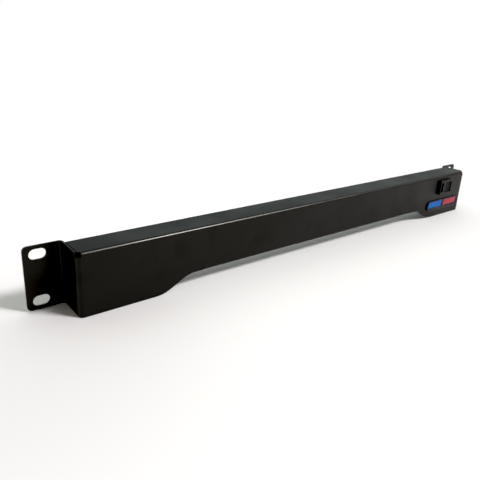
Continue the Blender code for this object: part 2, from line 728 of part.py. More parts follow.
def build_inlet_pins():
    blunt = (PIN[0] - 0.8 * MM, PIN[1] - 0.8 * MM)
    levels = [
        (rounded_rectangle(*PIN, 0.3 * MM), PIN_TAIL),
        (rounded_rectangle(*PIN, 0.3 * MM), PIN_TIP - 1.0 * MM),
        (rounded_rectangle(*blunt, 0.3 * MM), PIN_TIP),
    ]
    mesh = mesh_from("inlet_pin", closed_stack(levels))
    nickel = finish_of("nickel_pin", (0.70, 0.68, 0.62), 0.25, 1.0)
    for contact, (x, z) in contact_places().items():
        place = (INLET_X - CAVITY_X - x, REAR_Y, REAR_ROW_Z + z)
        add_object(f"inlet_{contact}_pin", mesh, nickel, place, REAR_FACING)


def build_fuse_drawer():
    """A tray that holds the fuse upright, open on the side away from the inlet's cavity."""
    half_width = BAY[0] / 2 - TRAY_SLACK
    height = BAY[1] - 2 * TRAY_SLACK
    back, front = REAR_Y + BAY_FLOOR + TRAY_SLACK, REAR_Y + FLANGE_FRONT
    outline = rounded_rectangle(front - back, height, 0.4 * MM, ((front + back) / 2, 0.0))
    pocket = rounded_rectangle(
        FUSE_POCKET_DEPTH, FUSE_LENGTH + 1.0 * MM, 0.4 * MM, (REAR_Y + FUSE_Z, 0.0)
    )
    levels = [
        (pocket, TRAY_FLOOR - half_width),
        (pocket, half_width),
        (outline, half_width),
        (outline, -half_width),
    ]
    plastic = finish_of("drawer_plastic", (0.02, 0.02, 0.021), 0.45)
    drawer_x = INLET_X - BAY_X
    mesh = mesh_from("fuse_drawer", closed_stack(levels))
    drawer = add_object("fuse_drawer", mesh, plastic, (drawer_x, 0.0, REAR_ROW_Z), EDGEWISE)
    grip_end = tuple(size - 1.0 * MM for size in GRIP)
    grip_levels = [
        (rounded_rectangle(*GRIP, 0.8 * MM), FLANGE_FRONT - 1.0 * MM),
        (rounded_rectangle(*GRIP, 0.8 * MM), OVERHANG - 0.5 * MM),
        (rounded_rectangle(*grip_end, 0.5 * MM), OVERHANG),
    ]
    grip_mesh = mesh_from("fuse_drawer_grip", closed_stack(grip_levels))
    grip_place = (drawer_x, REAR_Y, REAR_ROW_Z)
    grip = add_object("fuse_drawer_grip", grip_mesh, plastic, grip_place, REAR_FACING)
    combine(drawer, grip, "UNION")


def build_fuse():
    """A glass tube between two metal caps, upright in the drawer."""
    x, y = INLET_X - BAY_X, REAR_Y + FUSE_Z
    tube_half = FUSE_LENGTH / 2 - FUSE_CAP_LENGTH - GAP
    tube = extrusion(circle(FUSE_RADIUS - 0.3 * MM), -tube_half, tube_half)
    glass = finish_of("fuse_glass", (0.75, 0.78, 0.76), 0.1)
    add_object("fuse_tube", mesh_from("fuse_tube", tube, smooth=True), glass, (x, y, REAR_ROW_Z))
    cap = closed_stack(
        [
            (circle(FUSE_RADIUS), 0.0),
            (circle(FUSE_RADIUS), FUSE_CAP_LENGTH - 0.4 * MM),
            (circle(FUSE_RADIUS - 0.4 * MM), FUSE_CAP_LENGTH),
        ]
    )
    mesh = mesh_from("fuse_cap", cap, smooth=True)
    nickel = finish_of("nickel_cap", (0.66, 0.64, 0.60), 0.25, 1.0)
    offset = FUSE_LENGTH / 2 - FUSE_CAP_LENGTH
    add_object("fuse_cap_upper", mesh, nickel, (x, y, REAR_ROW_Z + offset))
    add_object("fuse_cap_lower", mesh, nickel, (x, y, REAR_ROW_Z - offset), (pi, 0.0, 0.0))


# Rocker switch


def build_switch_housing():
    rim = tuple(size - 0.8 * MM for size in BEZEL)
    well = rounded_rectangle(*SWITCH_WELL, 0.6 * MM)
    body = rounded_rectangle(*SWITCH_BODY, 0.5 * MM)
    levels = [
        (well, WELL_FLOOR),
        (well, BEZEL_PROUD),
        (rounded_rectangle(*rim, 0.8 * MM), BEZEL_PROUD),
        (rounded_rectangle(*BEZEL, 1.2 * MM), BEZEL_PROUD - 0.4 * MM),
        (rounded_rectangle(*BEZEL, 1.2 * MM), GAP),
        (body, GAP),
        (body, SWITCH_BACK),
    ]
    slot = (TERMINAL_THICKNESS + 2 * GAP, TERMINAL_WIDTH + 2 * GAP)
    slots = [rectangle(*slot, (x, 0.0)) for x in (0.0, LOAD_TERMINAL_X)]
    bm = bmesh.new()
    shell = add_stack(bm, levels)
    tunnels = [add_stack(bm, [(hole, WELL_FLOOR), (hole, SWITCH_BACK)]) for hole in slots]
    add_cap(bm, shell[0], *[tunnel[0] for tunnel in tunnels])
    add_cap(bm, shell[-1], *[tunnel[-1] for tunnel in tunnels])
    plastic = finish_of("switch_housing_plastic", (0.016, 0.016, 0.016), 0.35)
    place = (SWITCH_X, FRONT_Y, SWITCH_Z)
    housing = add_object(
        "switch_housing", mesh_from("switch_housing", bm), plastic, place, FRONT_FACING
    )
    bearing_half = TRUNNION_HALF + GAP
    bearing = extrusion(circle(TRUNNION_RADIUS + GAP), -bearing_half, bearing_half)
    axle_place = (SWITCH_X, PIVOT_Y, SWITCH_Z)
    cutter = add_object("switch_bearing_cutter", mesh_from("bearing", bearing), plastic, axle_place)
    combine(housing, cutter, "DIFFERENCE")


def rocker_profile():
    """The rocker seen from above in its middle position, about its pivot."""
    right = arc((0.0, 0.0), ROCKER_RADIUS, -ROCKER_END, ROCKER_SKIRT, 6)
    hem = ROCKER_RADIUS * sin(ROCKER_SKIRT)
    under = [(6.6 * MM, hem), (3.0 * MM, hem + 0.6 * MM), (2.2 * MM, ROCKER_POST)]
    half = right + under
    left = [(-x, y) for x, y in reversed(half)]
    return [(0.0, -ROCKER_FACE)] + half + left


def build_switch_rocker():
    """The rocker, tilted about its upright axle so that its right half is pressed in."""
    solid = extrusion(rocker_profile(), -ROCKER_WIDTH / 2, ROCKER_WIDTH / 2)
    plastic = finish_of("rocker_plastic", (0.02, 0.02, 0.021), 0.3)
    place = (SWITCH_X, PIVOT_Y, SWITCH_Z)
    tilt = (0.0, 0.0, ROCKER_TILT)
    rocker = add_object("switch_rocker", mesh_from("switch_rocker", solid), plastic, place, tilt)
    bevel = rocker.modifiers.new("Edges", "BEVEL")
    bevel.width = ROCKER_EDGE
    bevel.segments = 2
    bevel.angle_limit = radians(40)
    axle = extrusion(circle(TRUNNION_RADIUS), -TRUNNION_HALF, TRUNNION_HALF)
    trunnions = add_object("switch_trunnions", mesh_from("trunnions", axle), plastic, place, tilt)
    combine(rocker, trunnions, "UNION")


def build_switch_plunger():
    """A headed pin and its spring, carried under the rocker's post."""
    radius, length = PLUNGER_HEAD
    head = PLUNGER_TIP - length
    profile = [
        (PLUNGER_STEM, ROCKER_POST + GAP),
        (PLUNGER_STEM, head),
        (radius, head),
        (radius, PLUNGER_TIP - 0.6 * MM),
        (radius - 0.6 * MM, PLUNGER_TIP),
    ]
    levels = [(circle(width, steps=PLUNGER_STEPS), depth) for width, depth in profile]
    place = (SWITCH_X, PIVOT_Y, SWITCH_Z)
    mesh = mesh_from("switch_plunger", closed_stack(levels), smooth=True)
    acetal = finish_of("plunger_plastic", (0.80, 0.79, 0.74), 0.4)
    facing_back = (-QUARTER, 0.0, ROCKER_TILT)
    add_object("switch_plunger", mesh, acetal, place, facing_back)
    build_switch_spring(ROCKER_POST + GAP, head - GAP, place, facing_back)


def build_switch_spring(low, high, place, rotation):
    """A coil round the plunger's stem, between two depths."""
    first, last = low + SPRING_WIRE, high - SPRING_WIRE
    count = SPRING_TURNS * SPRING_STEPS
    points = []
    for i in range(count + 1):
        angle = 2 * pi * i / SPRING_STEPS
        depth = first + (last - first) * i / count
        points.append((SPRING_RADIUS * cos(angle), SPRING_RADIUS * sin(angle), depth))
    curve = wire_curve("switch_spring", points, SPRING_WIRE, "POLY")
    steel = finish_of("spring_steel", (0.5, 0.5, 0.5), 0.3, 1.0)
    add_object("switch_spring", curve, steel, place, rotation)


def build_switch_lever():
    """The contact strip that tips over the common terminal as the plunger crosses it."""
    half, thick = LEVER_HALF, LEVER_THICKNESS / 2
    profile = [(-half, -thick), (half, -thick), (half, thick), (-half, thick)]
    mesh = mesh_from("switch_lever", extrusion(profile, -LEVER_WIDTH / 2, LEVER_WIDTH / 2))
    copper = finish_of("contact_copper", (0.80, 0.50, 0.32), 0.3, 1.0)
    place = (SWITCH_X, LEVER_Y, SWITCH_Z)
    add_object("switch_lever", mesh, copper, place, (0.0, 0.0, -LEVER_TILT))


def build_switch_terminals():
    """Two blades through the back of the switch, under the lever's middle and its right end."""
    brass = finish_of("terminal_brass", (0.74, 0.58, 0.30), 0.35, 1.0)
    lever_drop = LEVER_THICKNESS / 2 + GAP
    end_drop = (LOAD_TERMINAL_X + TERMINAL_THICKNESS / 2) * tan(LEVER_TILT) + lever_drop
    for name, x, top in (
        ("switch_common_terminal", 0.0, LEVER_Y + lever_drop + TERMINAL_SLACK),
        ("switch_load_terminal", LOAD_TERMINAL_X, LEVER_Y + end_drop + TERMINAL_SLACK),
    ):
        length = TERMINAL_END_Y - top
        outline = rounded_rectangle(length, TERMINAL_WIDTH - GAP, 0.5 * MM)
        hole = circle(0.7 * MM, (length / 2 - 2.5 * MM, 0.0), 12)
        blade = extrusion(outline, -TERMINAL_THICKNESS / 2, TERMINAL_THICKNESS / 2, [hole])
        place = (SWITCH_X + x, (top + TERMINAL_END_Y) / 2, SWITCH_Z)
        add_object(name, mesh_from(name, blade), brass, place, EDGEWISE)


# Badge


def build_badge():
    """A plain domed pill stuck to the front face."""

    def inset(amount):
        width, height = (size - 2 * amount for size in BADGE)
        return rounded_rectangle(width, height, height / 2 - 0.05 * MM)

    levels = [
        (inset(0.0), BADGE_FILM),
        (inset(0.0), 0.6 * BADGE_FRONT),
        (inset(0.3 * MM), 0.9 * BADGE_FRONT),
        (inset(0.9 * MM), BADGE_FRONT),
    ]
    mesh = mesh_from("badge", closed_stack(levels), smooth=True)
    resin = finish_of("badge_resin", (0.02, 0.03, 0.08), 0.15)
    add_object("badge", mesh, resin, (BADGE_X, FRONT_Y, BADGE_Z), FRONT_FACING)


# Earth bond and wires


def build_earth_bond():
    """Stud, washer, tag and nut that tie the earth bar to the housing. Returns the tag's top."""
    steel = finish_of("zinc_fastener", (0.60, 0.60, 0.58), 0.35, 1.0)
    place = (BOND_X, BOND_Y, 0.0)
    stud_low = COVER_FLOOR + GAP
    washer_low = stud_low + GAP
    tag_low = washer_low + WASHER_THICKNESS + GAP
    tag_top = tag_low + WASHER_THICKNESS
    nut_low = tag_top + GAP
    chamfer = 0.4 * MM
    stud = closed_stack(
        [
            (circle(STUD_RADIUS), stud_low),
            (circle(STUD_RADIUS), stud_low + STUD_LENGTH - chamfer),
            (circle(STUD_RADIUS - chamfer), stud_low + STUD_LENGTH),
        ]
    )
    bore = circle(STUD_RADIUS + GAP)
    washer = extrusion(circle(WASHER_RADIUS), washer_low, washer_low + WASHER_THICKNESS, [bore])
    nut = extrusion(hexagon(NUT[0]), nut_low, nut_low + NUT[1], [bore])
    corner = asin(TAG_HALF / WASHER_RADIUS)
    round_end = arc((0.0, 0.0), WASHER_RADIUS, corner - QUARTER, 3 * QUARTER - corner, TAG_STEPS)
    strip_end = [(-TAG_HALF, -TAG_REACH), (TAG_HALF, -TAG_REACH)]
    tag = extrusion(round_end + strip_end, tag_low, tag_top, [bore])
    add_object("earth_stud", mesh_from("earth_stud", stud, smooth=True), steel, place)
    add_object("earth_washer", mesh_from("earth_washer", washer), steel, place)
    add_object("earth_nut", mesh_from("earth_nut", nut), steel, place)
    tin = finish_of("tinned_tag", (0.66, 0.66, 0.64), 0.3, 1.0)
    add_object("earth_tag", mesh_from("earth_tag", tag), tin, place)
    return tag_top


def wire_curve(name, points, radius, kind):
    """A round wire through the points, with closed ends."""
    curve = bpy.data.curves.new(name, "CURVE")
    curve.dimensions = "3D"
    curve.bevel_depth = radius
    curve.bevel_resolution = 1
    curve.use_fill_caps = True
    curve.resolution_u = 5
    spline = curve.splines.new(kind)
    if kind == "POLY":
        spline.points.add(len(points) - 1)
        for target, point in zip(spline.points, points):
            target.co = (*point, 1.0)
        return curve
    spline.bezier_points.add(len(points) - 1)
    for target, point in zip(spline.bezier_points, points):
        target.co = point
        target.handle_left_type = "AUTO"
        target.handle_right_type = "AUTO"
    return curve


def build_wire(name, colour, points):
    """A wire through points given in millimetres."""
    insulation = finish_of(f"{name}_insulation", colour, 0.5)
    route = [Vector(point) * MM for point in points]
    add_object(name, wire_curve(name, route, WIRE_RADIUS, "BEZIER"), insulation)


def build_wires(tag_top):
    """The wires. All places here are in millimetres."""
    brown, blue, green = (0.20, 0.07, 0.03), (0.03, 0.12, 0.45), (0.10, 0.42, 0.08)
    channel_y = (REAR_Y + PIN_TAIL - GAP - WIRE_RADIUS) / MM
    cavity_x = (INLET_X - CAVITY_X) / MM
    live_x, neutral_x = cavity_x + CONTACT_SPACING / MM, cavity_x - CONTACT_SPACING / MM
    line_z, earth_z = (REAR_ROW_Z + LINE_CONTACT_Z) / MM, (REAR_ROW_Z + EARTH_CONTACT_Z) / MM
    bar_end, bar_start = (BAR_RIGHT + WIRE_STANDOFF) / MM, (BAR_LEFT - WIRE_STANDOFF) / MM
    near_y, far_y = (BAR_NEAR_Y + BAR_THICKNESS / 2) / MM, (BAR_FAR_Y + BAR_THICKNESS / 2) / MM
    low_bar_z, high_bar_z = (REAR_ROW_Z - BAR_OFFSET) / MM, (REAR_ROW_Z + BAR_OFFSET) / MM
    blade_gap = TERMINAL_THICKNESS / 2 + WIRE_STANDOFF
    common_x, load_x = (SWITCH_X - blade_gap) / MM, (SWITCH_X + LOAD_TERMINAL_X + blade_gap) / MM
    switch_z = SWITCH_Z / MM
    bond_x, tag_y = BOND_X / MM, (BOND_Y - TAG_REACH) / MM + 1.6
    build_wire("live_supply_wire", brown, [
        (live_x, channel_y, line_z),
        (live_x + 8, channel_y, 22.5),
        (167.0, channel_y, 20.6),
        (174.5, -5.0, 20.0),
        (176.0, 2.5, 21.5),
        (176.2, 6.8, 27.0),
        (common_x, 6.8, switch_z),
    ])
    build_wire("live_switched_wire", brown, [
        (load_x, 6.8, switch_z),
        (192.5, 6.0, 26.0),
        (190.0, -1.0, 18.5),
        (178.0, channel_y, 16.6),
        (150.0, channel_y, 16.6),
        (127.0, channel_y + 0.4, 16.8),
        (bar_end, near_y, low_bar_z - 1.2),
    ])
    build_wire("neutral_wire", blue, [
        (neutral_x, channel_y, line_z),
        (131.0, channel_y, 23.2),
        (126.8, channel_y, 21.6),
        (bar_end, far_y, low_bar_z + 1.6),
    ])
    build_wire("earth_inlet_wire", green, [
        (cavity_x, channel_y, earth_z),
        (131.0, channel_y, 32.5),
        (126.8, channel_y + 0.3, 34.2),
        (bar_end, near_y, high_bar_z),
    ])
    build_wire("earth_bond_wire", green, [
        (bar_start, near_y, high_bar_z),
        (bond_x + 2.0, near_y, 32.0),
        (bond_x, tag_y, 24.0),
        (bond_x, tag_y, (tag_top + WIRE_STANDOFF) / MM),
    ])


def main():
    clear_scene()
    build_front_panel()
    build_rear_cover()
    build_cover_screws()
    build_outlets()
    build_bus_bars()
    build_insulation_sheet()
    build_inlet_housing()
    build_inlet_pins()
    build_fuse_drawer()
    build_fuse()
    build_switch_housing()
    build_switch_rocker()
    build_switch_plunger()
    build_switch_lever()
    build_switch_terminals()
    build_badge()
    tag_top = build_earth_bond()
    build_wires(tag_top)


main()
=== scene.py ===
"""Looks of the rack power strip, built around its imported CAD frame.

Shapes are made in millimetres, in the frame's axes: +X to the right seen from the front, +Y from the
front into the rack, +Z up. add_piece() turns them into metres and seats them on their CAD body.
"""

import json
from math import copysign, cos, pi, radians, sin, tan

import bmesh
import bpy
from mathutils import Matrix, Vector


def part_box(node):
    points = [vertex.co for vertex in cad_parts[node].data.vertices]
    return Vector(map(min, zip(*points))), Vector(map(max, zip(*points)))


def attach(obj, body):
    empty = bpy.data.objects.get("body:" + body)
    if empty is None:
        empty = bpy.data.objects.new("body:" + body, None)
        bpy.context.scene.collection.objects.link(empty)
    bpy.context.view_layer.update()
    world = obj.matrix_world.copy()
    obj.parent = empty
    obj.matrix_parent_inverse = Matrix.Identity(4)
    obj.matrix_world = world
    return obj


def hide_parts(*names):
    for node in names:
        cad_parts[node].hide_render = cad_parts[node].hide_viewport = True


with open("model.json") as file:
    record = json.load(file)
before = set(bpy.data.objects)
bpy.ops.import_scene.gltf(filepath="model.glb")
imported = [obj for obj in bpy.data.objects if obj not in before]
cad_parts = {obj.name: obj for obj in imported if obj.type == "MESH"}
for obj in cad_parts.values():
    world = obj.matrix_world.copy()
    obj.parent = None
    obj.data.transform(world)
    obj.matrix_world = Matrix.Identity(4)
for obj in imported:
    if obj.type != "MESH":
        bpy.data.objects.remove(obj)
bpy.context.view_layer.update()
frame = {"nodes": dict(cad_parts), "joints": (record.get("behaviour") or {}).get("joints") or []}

MM = 0.001
QUARTER = pi / 2
CORNER_STEPS = 8
ROUND_STEPS = 48
FRONT_FACING = (QUARTER, 0.0, 0.0)  # local x right, y up and z outwards, for a viewer in front
REAR_FACING = (QUARTER, 0.0, pi)  # the same, for a viewer behind
EDGEWISE = (QUARTER, 0.0, QUARTER)  # local x to +Y, y to +Z and z to +X
UPRIGHT = (0.0, 0.0, 0.0)


# The frame's places, in millimetres


def box(node):
    low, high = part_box(node)
    return low / MM, high / MM


def middle(node):
    low, high = box(node)
    return (low + high) / 2


def extent(node):
    low, high = box(node)
    return high - low


def pivot(joint):
    found = next(item for item in frame["joints"] if item["name"] == joint)
    return Vector(found["pos_m"]) / MM


PANEL_LOW, PANEL_HIGH = box("front_panel")
COVER_LOW, COVER_HIGH = box("rear_cover")
GAP = 0.3
SHEET = 1.2
BEND_RADIUS = 2.0  # outside of the bends that run along the housing
BEND_STEPS = 14
MID_RADIUS = BEND_RADIUS - SHEET / 2
BEND_LENGTH = MID_RADIUS * QUARTER
SIDE_RADIUS = 3.0  # outside of the upright bends at both edges of the side walls
SIDE_MID_RADIUS = SIDE_RADIUS - SHEET / 2
SIDE_BEND_LENGTH = SIDE_MID_RADIUS * QUARTER

PANEL_WIDTH = PANEL_HIGH.x - PANEL_LOW.x
PANEL_HEIGHT = PANEL_HIGH.z
FRONT_Y = PANEL_LOW.y
REAR_Y = PANEL_HIGH.y
FRONT_MID_Y = FRONT_Y + SHEET / 2
BODY_DEPTH = REAR_Y - FRONT_Y
BODY_WIDTH = 2 * (COVER_HIGH.x + GAP + SHEET)
MID_HEIGHT = PANEL_HEIGHT / 2
RETURN_Z = COVER_LOW.z - GAP - SHEET
ROW_Z = middle("outlet_1").z
TOP_FLANGE_DEPTH = 22.0
FLANGE_END_GAP = 1.7  # from the outside of a side wall to the end of the top flange
NOTCH_WIDTH = 3.1  # relief where the top and side bends meet, in the front face
NOTCH_HEIGHT = 2.7
NOTCH_MARGIN = 0.2  # past each bend
EAR_CORNER = 3.0
RACK_SLOT = (10.8, 7.0)
RACK_SLOT_X = 232.15
RACK_SLOT_SPACING = 31.75
RAISED_Z = RETURN_Z + 0.6
RAISED_HALF = 132.75
LOWER_RADIUS = 32.0  # where the lower edge leaves the ground
UPPER_RADIUS = 20.0  # where it meets the raised middle
FOOT_SLOPE = radians(28)
RETURN_HALF = 125.0
RETURN_DEPTH = 12.0
RELIEF_WIDTH = 0.8
RELIEF_Z = 13.0
BLANK_CORNER = 1.0
COVER_LIP_Y = 2.0
SCREW_SHANK = 1.2  # radius
SCREW_SOCKET = (2.0, 1.2)  # across flats, depth
SCREW_CROWN = 0.6  # where the dome starts, as a share of the head's radius
SCREW_DOME = 1.3
SCREW_CHAMFER = 0.4
SCREWS = [f"cover_screw_{number}" for number in range(1, 5)]
OUTLETS = [f"outlet_{number}" for number in range(1, 9)]

FLANGE_INSET = 0.5  # from a flange's edge in to its face, over the sloped rim
FLANGE_SLOPE = 0.6  # the rim's depth
FLANGE_CORNER = 2.0

OUTLET_BODY = (30.4, 23.0)
OUTLET_MOAT = (28.3, 20.7)
OUTLET_BLOCK = (24.0, 16.3)
MOAT_DEPTH = 17.0
KEY_CORNER = 4.0
CONTACT_SLOT = (3.4, 4.8)
CONTACTS = [(-7.0, -2.0), (7.0, -2.0), (0.0, 2.0)]  # seen from behind
PIN_TIP = (0.4, 1.0)  # a pin's tip narrows by this much on each side, over this length

INLET_BODY = (43.0, 23.0)
CAVITY = (24.5, 16.7)
CAVITY_FLOOR = -15.45
BAY = (8.6, 21.8)
BAY_FLOOR = -13.5
TRAY_FLOOR = 0.8
FUSE_POCKET = (6.2, 20.4)
GRIP = (5.6, 4.0)
GRIP_CORNER = 0.9
GRIP_ROOT = 1.0  # how far the grip reaches into the tray, which it is joined to
GRIP_CHAMFER = 0.3
GRIP_GROOVES = 2
GROOVE_DEPTH = 0.4
GROOVE_MOUTH = 0.2  # half widths
GROOVE_BED = 0.08

SWITCH_BODY = (19.5, 13.0)
SWITCH_WELL = (17.9, 11.1)
BEZEL_CORNER = 1.2
BEZEL_CHAMFER = 0.4
WELL_FLOOR = -15.75
ROCKER_TILT = radians(7)
ROCKER_RADIUS = 8.61
ROCKER_END = radians(26.6)
ROCKER_SKIRT = radians(12)
ROCKER_WIDTH = 10.5
ROCKER_HEM = 6.6  # half the width of the underside, whose edge is the hem
ROCKER_POST = (2.2, 5.0)  # half width of the post's end, and its distance behind the pivot
POST_FOOT = (3.0, 0.6)  # half width of the post's root, and its distance behind the hem
ROCKER_HOLLOW = 0.15  # how far each half of the face dips
TRUNNION = (1.2, 6.0)  # radius, half length
TERMINAL_SLOT = (1.4, 5.4)
LOAD_TERMINAL_X = 6.0


# Outlines


def arc(centre, radius, start, end, steps):
    """Points of an arc, both ends included."""
    angles = [start + (end - start) * i / steps for i in range(steps + 1)]
    return [(centre[0] + radius * cos(a), centre[1] + radius * sin(a)) for a in angles]


def rounded_rectangle(width, height, radii, centre=(0.0, 0.0), steps=CORNER_STEPS):
    """Anticlockwise outline, with one radius, or one for each corner from the lower right onwards."""
    if not isinstance(radii, (tuple, list)):
        radii = (radii,) * 4
    points = []
    for quarter, radius in enumerate(radii):
        across = 1 if quarter in (0, 1) else -1
        up = 1 if quarter in (1, 2) else -1
        corner = (centre[0] + across * (width / 2 - radius), centre[1] + up * (height / 2 - radius))
        start = QUARTER * (quarter - 1)
        points += arc(corner, radius, start, start + QUARTER, steps)
    return points


def circle(radius, centre=(0.0, 0.0), steps=ROUND_STEPS):
    return arc(centre, radius, 0.0, 2 * pi, steps)[:-1]


def hexagon(across_flats, steps=ROUND_STEPS):
    """A hexagon drawn with as many points as a circle, so that the two can be joined."""
    points = []
    for i in range(steps):
        angle = 2 * pi * i / steps
        off_flat = (angle + pi / 6) % (pi / 3) - pi / 6
        reach = across_flats / 2 / cos(off_flat)
        points.append((reach * cos(angle), reach * sin(angle)))
    return points


# Solids built from rings of points


def add_stack(bm, levels):
    """Rings of equally many points at their depths, each joined to the next by walls."""
    rings = [[bm.verts.new((x, y, depth)) for x, y in outline] for outline, depth in levels]
    for lower, upper in zip(rings, rings[1:]):
        for i in range(len(lower)):
            j = (i + 1) % len(lower)
            bm.faces.new((lower[i], lower[j], upper[j], upper[i]))
    return rings


def add_cap(bm, outer, *holes):
    """A flat face across a ring, with holes."""
    edges = []
    for ring in (outer, *holes):
        for pair in zip(ring, ring[1:] + ring[:1]):
            edges.append(bm.edges.get(pair) or bm.edges.new(pair))
    bmesh.ops.triangle_fill(bm, edges=edges, use_beauty=True)


def pierced_stack(levels, holes=()):
    """A solid from rings at their depths, with straight holes between its two end faces."""
    bm = bmesh.new()
    rings = add_stack(bm, levels)
    first, last = levels[0][1], levels[-1][1]
    tunnels = [add_stack(bm, [(hole, first), (hole, last)]) for hole in holes]
    add_cap(bm, rings[0], *[tunnel[0] for tunnel in tunnels])
    add_cap(bm, rings[-1], *[tunnel[-1] for tunnel in tunnels])
    return bm


def extrusion(outline, low, high, holes=()):
    return pierced_stack([(outline, low), (outline, high)], holes)


def add_extrusion(bm, outline, low, high):
    """One more closed solid in a mesh."""
    rings = add_stack(bm, [(outline, low), (outline, high)])
    add_cap(bm, rings[0])
    add_cap(bm, rings[1])


# Pieces


def finished_mesh(name, bm):
    """A smooth-shaded mesh in metres, with its flat faces merged."""
    flat = radians(0.3)
    bmesh.ops.dissolve_limit(bm, angle_limit=flat, verts=bm.verts[:], edges=bm.edges[:])
    bmesh.ops.recalc_face_normals(bm, faces=bm.faces[:])
    bmesh.ops.scale(bm, vec=(MM, MM, MM), verts=bm.verts[:])
    mesh = bpy.data.meshes.new(name)
    bm.to_mesh(mesh)
    bm.free()
    mesh.shade_smooth()
    return mesh


def soften(obj, width, edge_material=False):
    """Rounds the sharp edges, and shades the flats flat."""
    bevel = obj.modifiers.new("Edges", "BEVEL")
    bevel.width = width * MM
    bevel.segments = 3
    bevel.limit_method = "ANGLE"
    bevel.angle_limit = radians(30)
    bevel.miter_outer = "MITER_ARC"
    # the second material, lighter than the first, is a painted highlight along the rounded edges
    if edge_material:
        bevel.material = 1
    normals = obj.modifiers.new("Normals", "WEIGHTED_NORMAL")
    normals.keep_sharp = True


def place_object(name, mesh, place=(0.0, 0.0, 0.0), rotation=UPRIGHT):
    obj = bpy.data.objects.new(name, mesh)
    bpy.context.scene.collection.objects.link(obj)
    obj.location = Vector(place) * MM
    obj.rotation_euler = rotation
    return obj


def seat(obj, body, slot, *nodes):
    """Ties a piece to its CAD body and hides the CAD nodes it stands for. The slot is not used."""
    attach(obj, body)
    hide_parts(*nodes)


def add_piece(
    name, shape, materials, body, slot, nodes=(), place=(0, 0, 0), rotation=UPRIGHT, edge=0.2
):
    """Adds a visible piece, from a bmesh in millimetres or from a finished mesh, with rounded edges."""
    mesh = shape if isinstance(shape, bpy.types.Mesh) else finished_mesh(name, shape)
    if not mesh.materials:
        for material in materials:
            mesh.materials.append(material)
    obj = place_object(name, mesh, place, rotation)
    soften(obj, edge, len(materials) > 1)
    seat(obj, body, slot, *nodes)
    return obj


def carve(obj, tool, operation):
    """Applies a Boolean with a tool that is then removed."""
    modifier = obj.modifiers.new("Boolean", "BOOLEAN")
    modifier.operation = operation
    modifier.object = tool
    modifier.solver = "EXACT"
    bpy.context.view_layer.update()
    evaluated = obj.evaluated_get(bpy.context.evaluated_depsgraph_get())
    result = bpy.data.meshes.new_from_object(evaluated)
    obj.modifiers.remove(modifier)
    obj.data = result
    bpy.data.objects.remove(tool)


# Node-based materials. Distances in the nodes are in metres.


class Finish:
    """A Principled material and the nodes that feed it."""

    def __init__(self, name):
        self.material = bpy.data.materials.new(name)
        self.material.use_nodes = True
        self.tree = self.material.node_tree
        self.shader = self.tree.nodes["Principled BSDF"]
        self.place = self.node("ShaderNodeTexCoord").outputs["Object"]

    def node(self, kind, inputs=None, **settings):
        made = self.tree.nodes.new(kind)
        for name, value in settings.items():
            setattr(made, name, value)
        for name, value in (inputs or {}).items():
            self.feed(made.inputs[name], value)
        return made

    def feed(self, socket, value):
        if isinstance(value, bpy.types.NodeSocket):
            self.tree.links.new(value, socket)
        else:
            socket.default_value = value

    def set(self, **inputs):
        """Feeds the shader. Underscores in the names stand for spaces."""
        for name, value in inputs.items():
            self.feed(self.shader.inputs[name.replace("_", " ")], value)

    def stretched(self, scale):
        return self.node("ShaderNodeMapping", {"Vector": self.place, "Scale": scale}).outputs["Vector"]

    def noise(self, size, detail=2.0, vector=None, rough=0.5):
        """Noise whose features are about this many millimetres across."""
        inputs = {
            "Vector": vector or self.place,
            "Scale": 1 / (size * MM),
            "Detail": detail,
            "Roughness": rough,
        }
        return self.node("ShaderNodeTexNoise", inputs).outputs["Fac"]

    def cells(self, size):
        """Distance from the nearest of scattered points about this many millimetres apart."""
        inputs = {"Vector": self.place, "Scale": 1 / (size * MM)}
        return self.node("ShaderNodeTexVoronoi", inputs).outputs["Distance"]

    def spread(self, value, low, high, new_low, new_high):
        inputs = {"Value": value, "From Min": low, "From Max": high}
        inputs |= {"To Min": new_low, "To Max": new_high}
        made = self.node("ShaderNodeMapRange", inputs, interpolation_type="SMOOTHSTEP")
        return made.outputs["Result"]

    def sum_of(self, first, second, operation="ADD"):
        made = self.node("ShaderNodeMath", operation=operation)
        self.feed(made.inputs[0], first)
        self.feed(made.inputs[1], second)
        return made.outputs["Value"]

    def upper_bends(self):
        """1 on bends that face partly upwards, and 0 where the surface is flat or upright."""
        normal = self.node("ShaderNodeTexCoord").outputs["Normal"]
        squared = self.node("ShaderNodeVectorMath", operation="MULTIPLY")
        self.feed(squared.inputs[0], normal)
        self.feed(squared.inputs[1], normal)
        fourth = self.node("ShaderNodeVectorMath", operation="DOT_PRODUCT")
        self.feed(fourth.inputs[0], squared.outputs["Vector"])
        self.feed(fourth.inputs[1], squared.outputs["Vector"])
        slanting = self.spread(fourth.outputs["Value"], 0.55, 0.95, 1.0, 0.0)
        upward = self.node("ShaderNodeSeparateXYZ", {"Vector": normal}).outputs["Z"]
        return self.sum_of(slanting, self.spread(upward, 0.1, 0.4, 0.0, 1.0), "MULTIPLY")

    def blend(self, share, first, second):
        """A colour between two, which are colours or sockets."""
        made = self.node("ShaderNodeMix", data_type="RGBA")
        self.feed(made.inputs["Factor"], share)
        for name, value in (("A", first), ("B", second)):
            socket = next(s for s in made.inputs if s.name == name and s.type == "RGBA")
            self.feed(socket, value if isinstance(value, bpy.types.NodeSocket) else (*value, 1.0))
        return next(s for s in made.outputs if s.type == "RGBA")

    def relief(self, *layers):
        """Bumps, given as height sockets with their depths in millimetres."""
        normal = None
        for height, depth in layers:
            bump = self.node("ShaderNodeBump", {"Height": height, "Distance": depth * MM})
            if normal:
                self.feed(bump.inputs["Normal"], normal)
            normal = bump.outputs["Normal"]
        self.set(Normal=normal)


